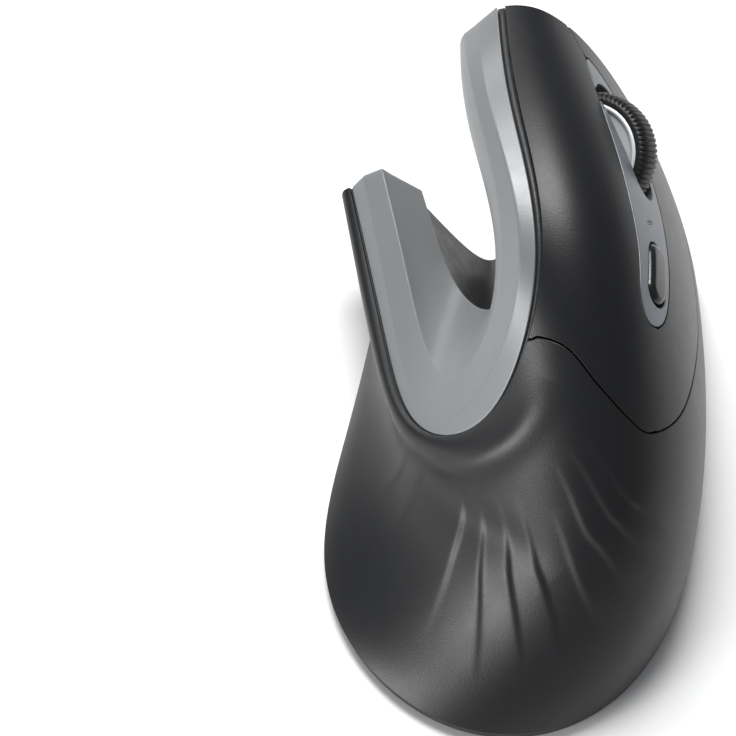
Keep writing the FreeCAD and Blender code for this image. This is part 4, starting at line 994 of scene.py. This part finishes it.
FINISHES = {
    "shell_black": dict(colour=(0.0070, 0.0074, 0.0082), rough=0.40, bump=0.12, grain=2600,
                        specular=0.33, wander=0.015, tint=0.05),
    "key_black": dict(colour=(0.0070, 0.0074, 0.0084), rough=0.38, bump=0.10, grain=2600,
                      specular=0.33, wander=0.015, tint=0.05),
    "trim_grey": dict(colour=(0.17, 0.178, 0.183), rough=0.42, metallic=0.30, bump=0.10,
                      grain=3200, tint=0.03, wander=0.02),
    "strip_grey": dict(colour=(0.15, 0.16, 0.175), rough=0.40, metallic=0.35, bump=0.10,
                       grain=3200, tint=0.03, wander=0.02),
    "lining_dark": dict(colour=(0.012, 0.0125, 0.0135), rough=0.48, bump=0.30, grain=2000),
    "wheel_rubber": dict(colour=(0.006, 0.0062, 0.0065), rough=0.42, bump=0.25, grain=1600,
                         specular=0.35),
    "wheel_silver": dict(colour=(0.66, 0.68, 0.69), rough=0.34, metallic=0.35, bump=0.06,
                         tint=0.03),
    "button_black": dict(colour=(0.005, 0.0055, 0.007), rough=0.26, coat=0.15, bump=0.05,
                         specular=0.4, wander=0.02),
    "light_dash": dict(colour=(0.012, 0.013, 0.016), rough=0.3, bump=0.04),
    "base_black": dict(colour=(0.022, 0.022, 0.023), rough=0.52, bump=0.35, grain=1500),
    "foot_grey": dict(colour=(0.16, 0.16, 0.165), rough=0.42, bump=0.15),
    "board_green": dict(colour=(0.006, 0.030, 0.014), rough=0.45, bump=0.20, grain=900),
    "chip_black": dict(colour=(0.02, 0.02, 0.021), rough=0.45, bump=0.20),
    "steel": dict(colour=(0.55, 0.55, 0.55), rough=0.30, metallic=1.0, bump=0.12),
    "cell_jacket": dict(colour=(0.06, 0.09, 0.24), rough=0.28, metallic=0.4, coat=0.4),
    "lens_clear": dict(colour=(0.50, 0.53, 0.55), rough=0.12, coat=0.5, bump=0.03),
    "led_clear": dict(colour=(0.60, 0.20, 0.18), rough=0.15, coat=0.5, bump=0.03),
    "frame_black": dict(colour=(0.022, 0.022, 0.023), rough=0.50, bump=0.30),
}
MATERIALS = {name: finish(name, **values) for name, values in FINISHES.items()}
groove_black = finish("groove_black", (0.008, 0.008, 0.009), 0.5)

for piece in [o for o in bpy.context.scene.objects if o.type == "MESH" and "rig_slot" in o]:
    piece.data.materials.clear()
    piece.data.materials.append(MATERIALS[piece["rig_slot"]])
trim.data.materials.append(groove_black)


# ---------------------------------------------------------------------------
# Floor, light and camera
# ---------------------------------------------------------------------------

def area_light(name, place, target, size, power):
    data = bpy.data.lights.new(name, "AREA")
    data.shape = "SQUARE"
    data.size = size
    data.energy = power
    made = bpy.data.objects.new(name, data)
    made.location = place
    made.rotation_euler = (Vector(target) - Vector(place)).to_track_quat("-Z", "Y").to_euler()
    bpy.context.collection.objects.link(made)
    return made


floor_mesh = bpy.data.meshes.new("floor")
reach = 3.0
floor_mesh.from_pydata([(-reach, -reach, 0), (reach, -reach, 0), (reach, reach, 0),
                        (-reach, reach, 0)], [], [(0, 1, 2, 3)])
floor = bpy.data.objects.new("floor", floor_mesh)
bpy.context.collection.objects.link(floor)
floor_look = finish("floor_white", (0.80, 0.80, 0.80), 0.7, bump=0.02, tint=0.005)
floor_mesh.materials.append(floor_look)

world = bpy.data.worlds.new("studio")
bpy.context.scene.world = world
world.use_nodes = True
world.node_tree.nodes["Background"].inputs["Color"].default_value = (0.95, 0.97, 1.0, 1)
world.node_tree.nodes["Background"].inputs["Strength"].default_value = 0.27
bpy.context.scene.view_settings.view_transform = "Standard"

HEART = Vector((0, 0, 0.035))
area_light("left_soft", HEART + Vector((-0.60, -0.40, 0.10)), HEART, 0.30, 4.6)
area_light("top_soft", HEART + Vector((-0.05, 0.36, 0.90)), HEART, 0.42, 11.5)
area_light("front_high", HEART + Vector((-0.35, 0.75, 0.35)), HEART, 0.35, 2.0)

ELEVATION = math.radians(60)
CAMERA_DISTANCE = 0.7
SENSOR_MM = 36.0
LENS_MM = 181.467391
view = Vector((0, -math.cos(ELEVATION), math.sin(ELEVATION)))
aim = Vector(tuple((np.array([-27.5, 3.0, 35.0]) - CENTRE) * MM))
camera_data = bpy.data.cameras.new("camera")
camera_data.sensor_width = SENSOR_MM
camera_data.lens = LENS_MM
camera = bpy.data.objects.new("camera", camera_data)
camera.location = aim + view * CAMERA_DISTANCE
camera.rotation_euler = (-view).to_track_quat("-Z", "Y").to_euler()
bpy.context.collection.objects.link(camera)
bpy.context.scene.camera = camera
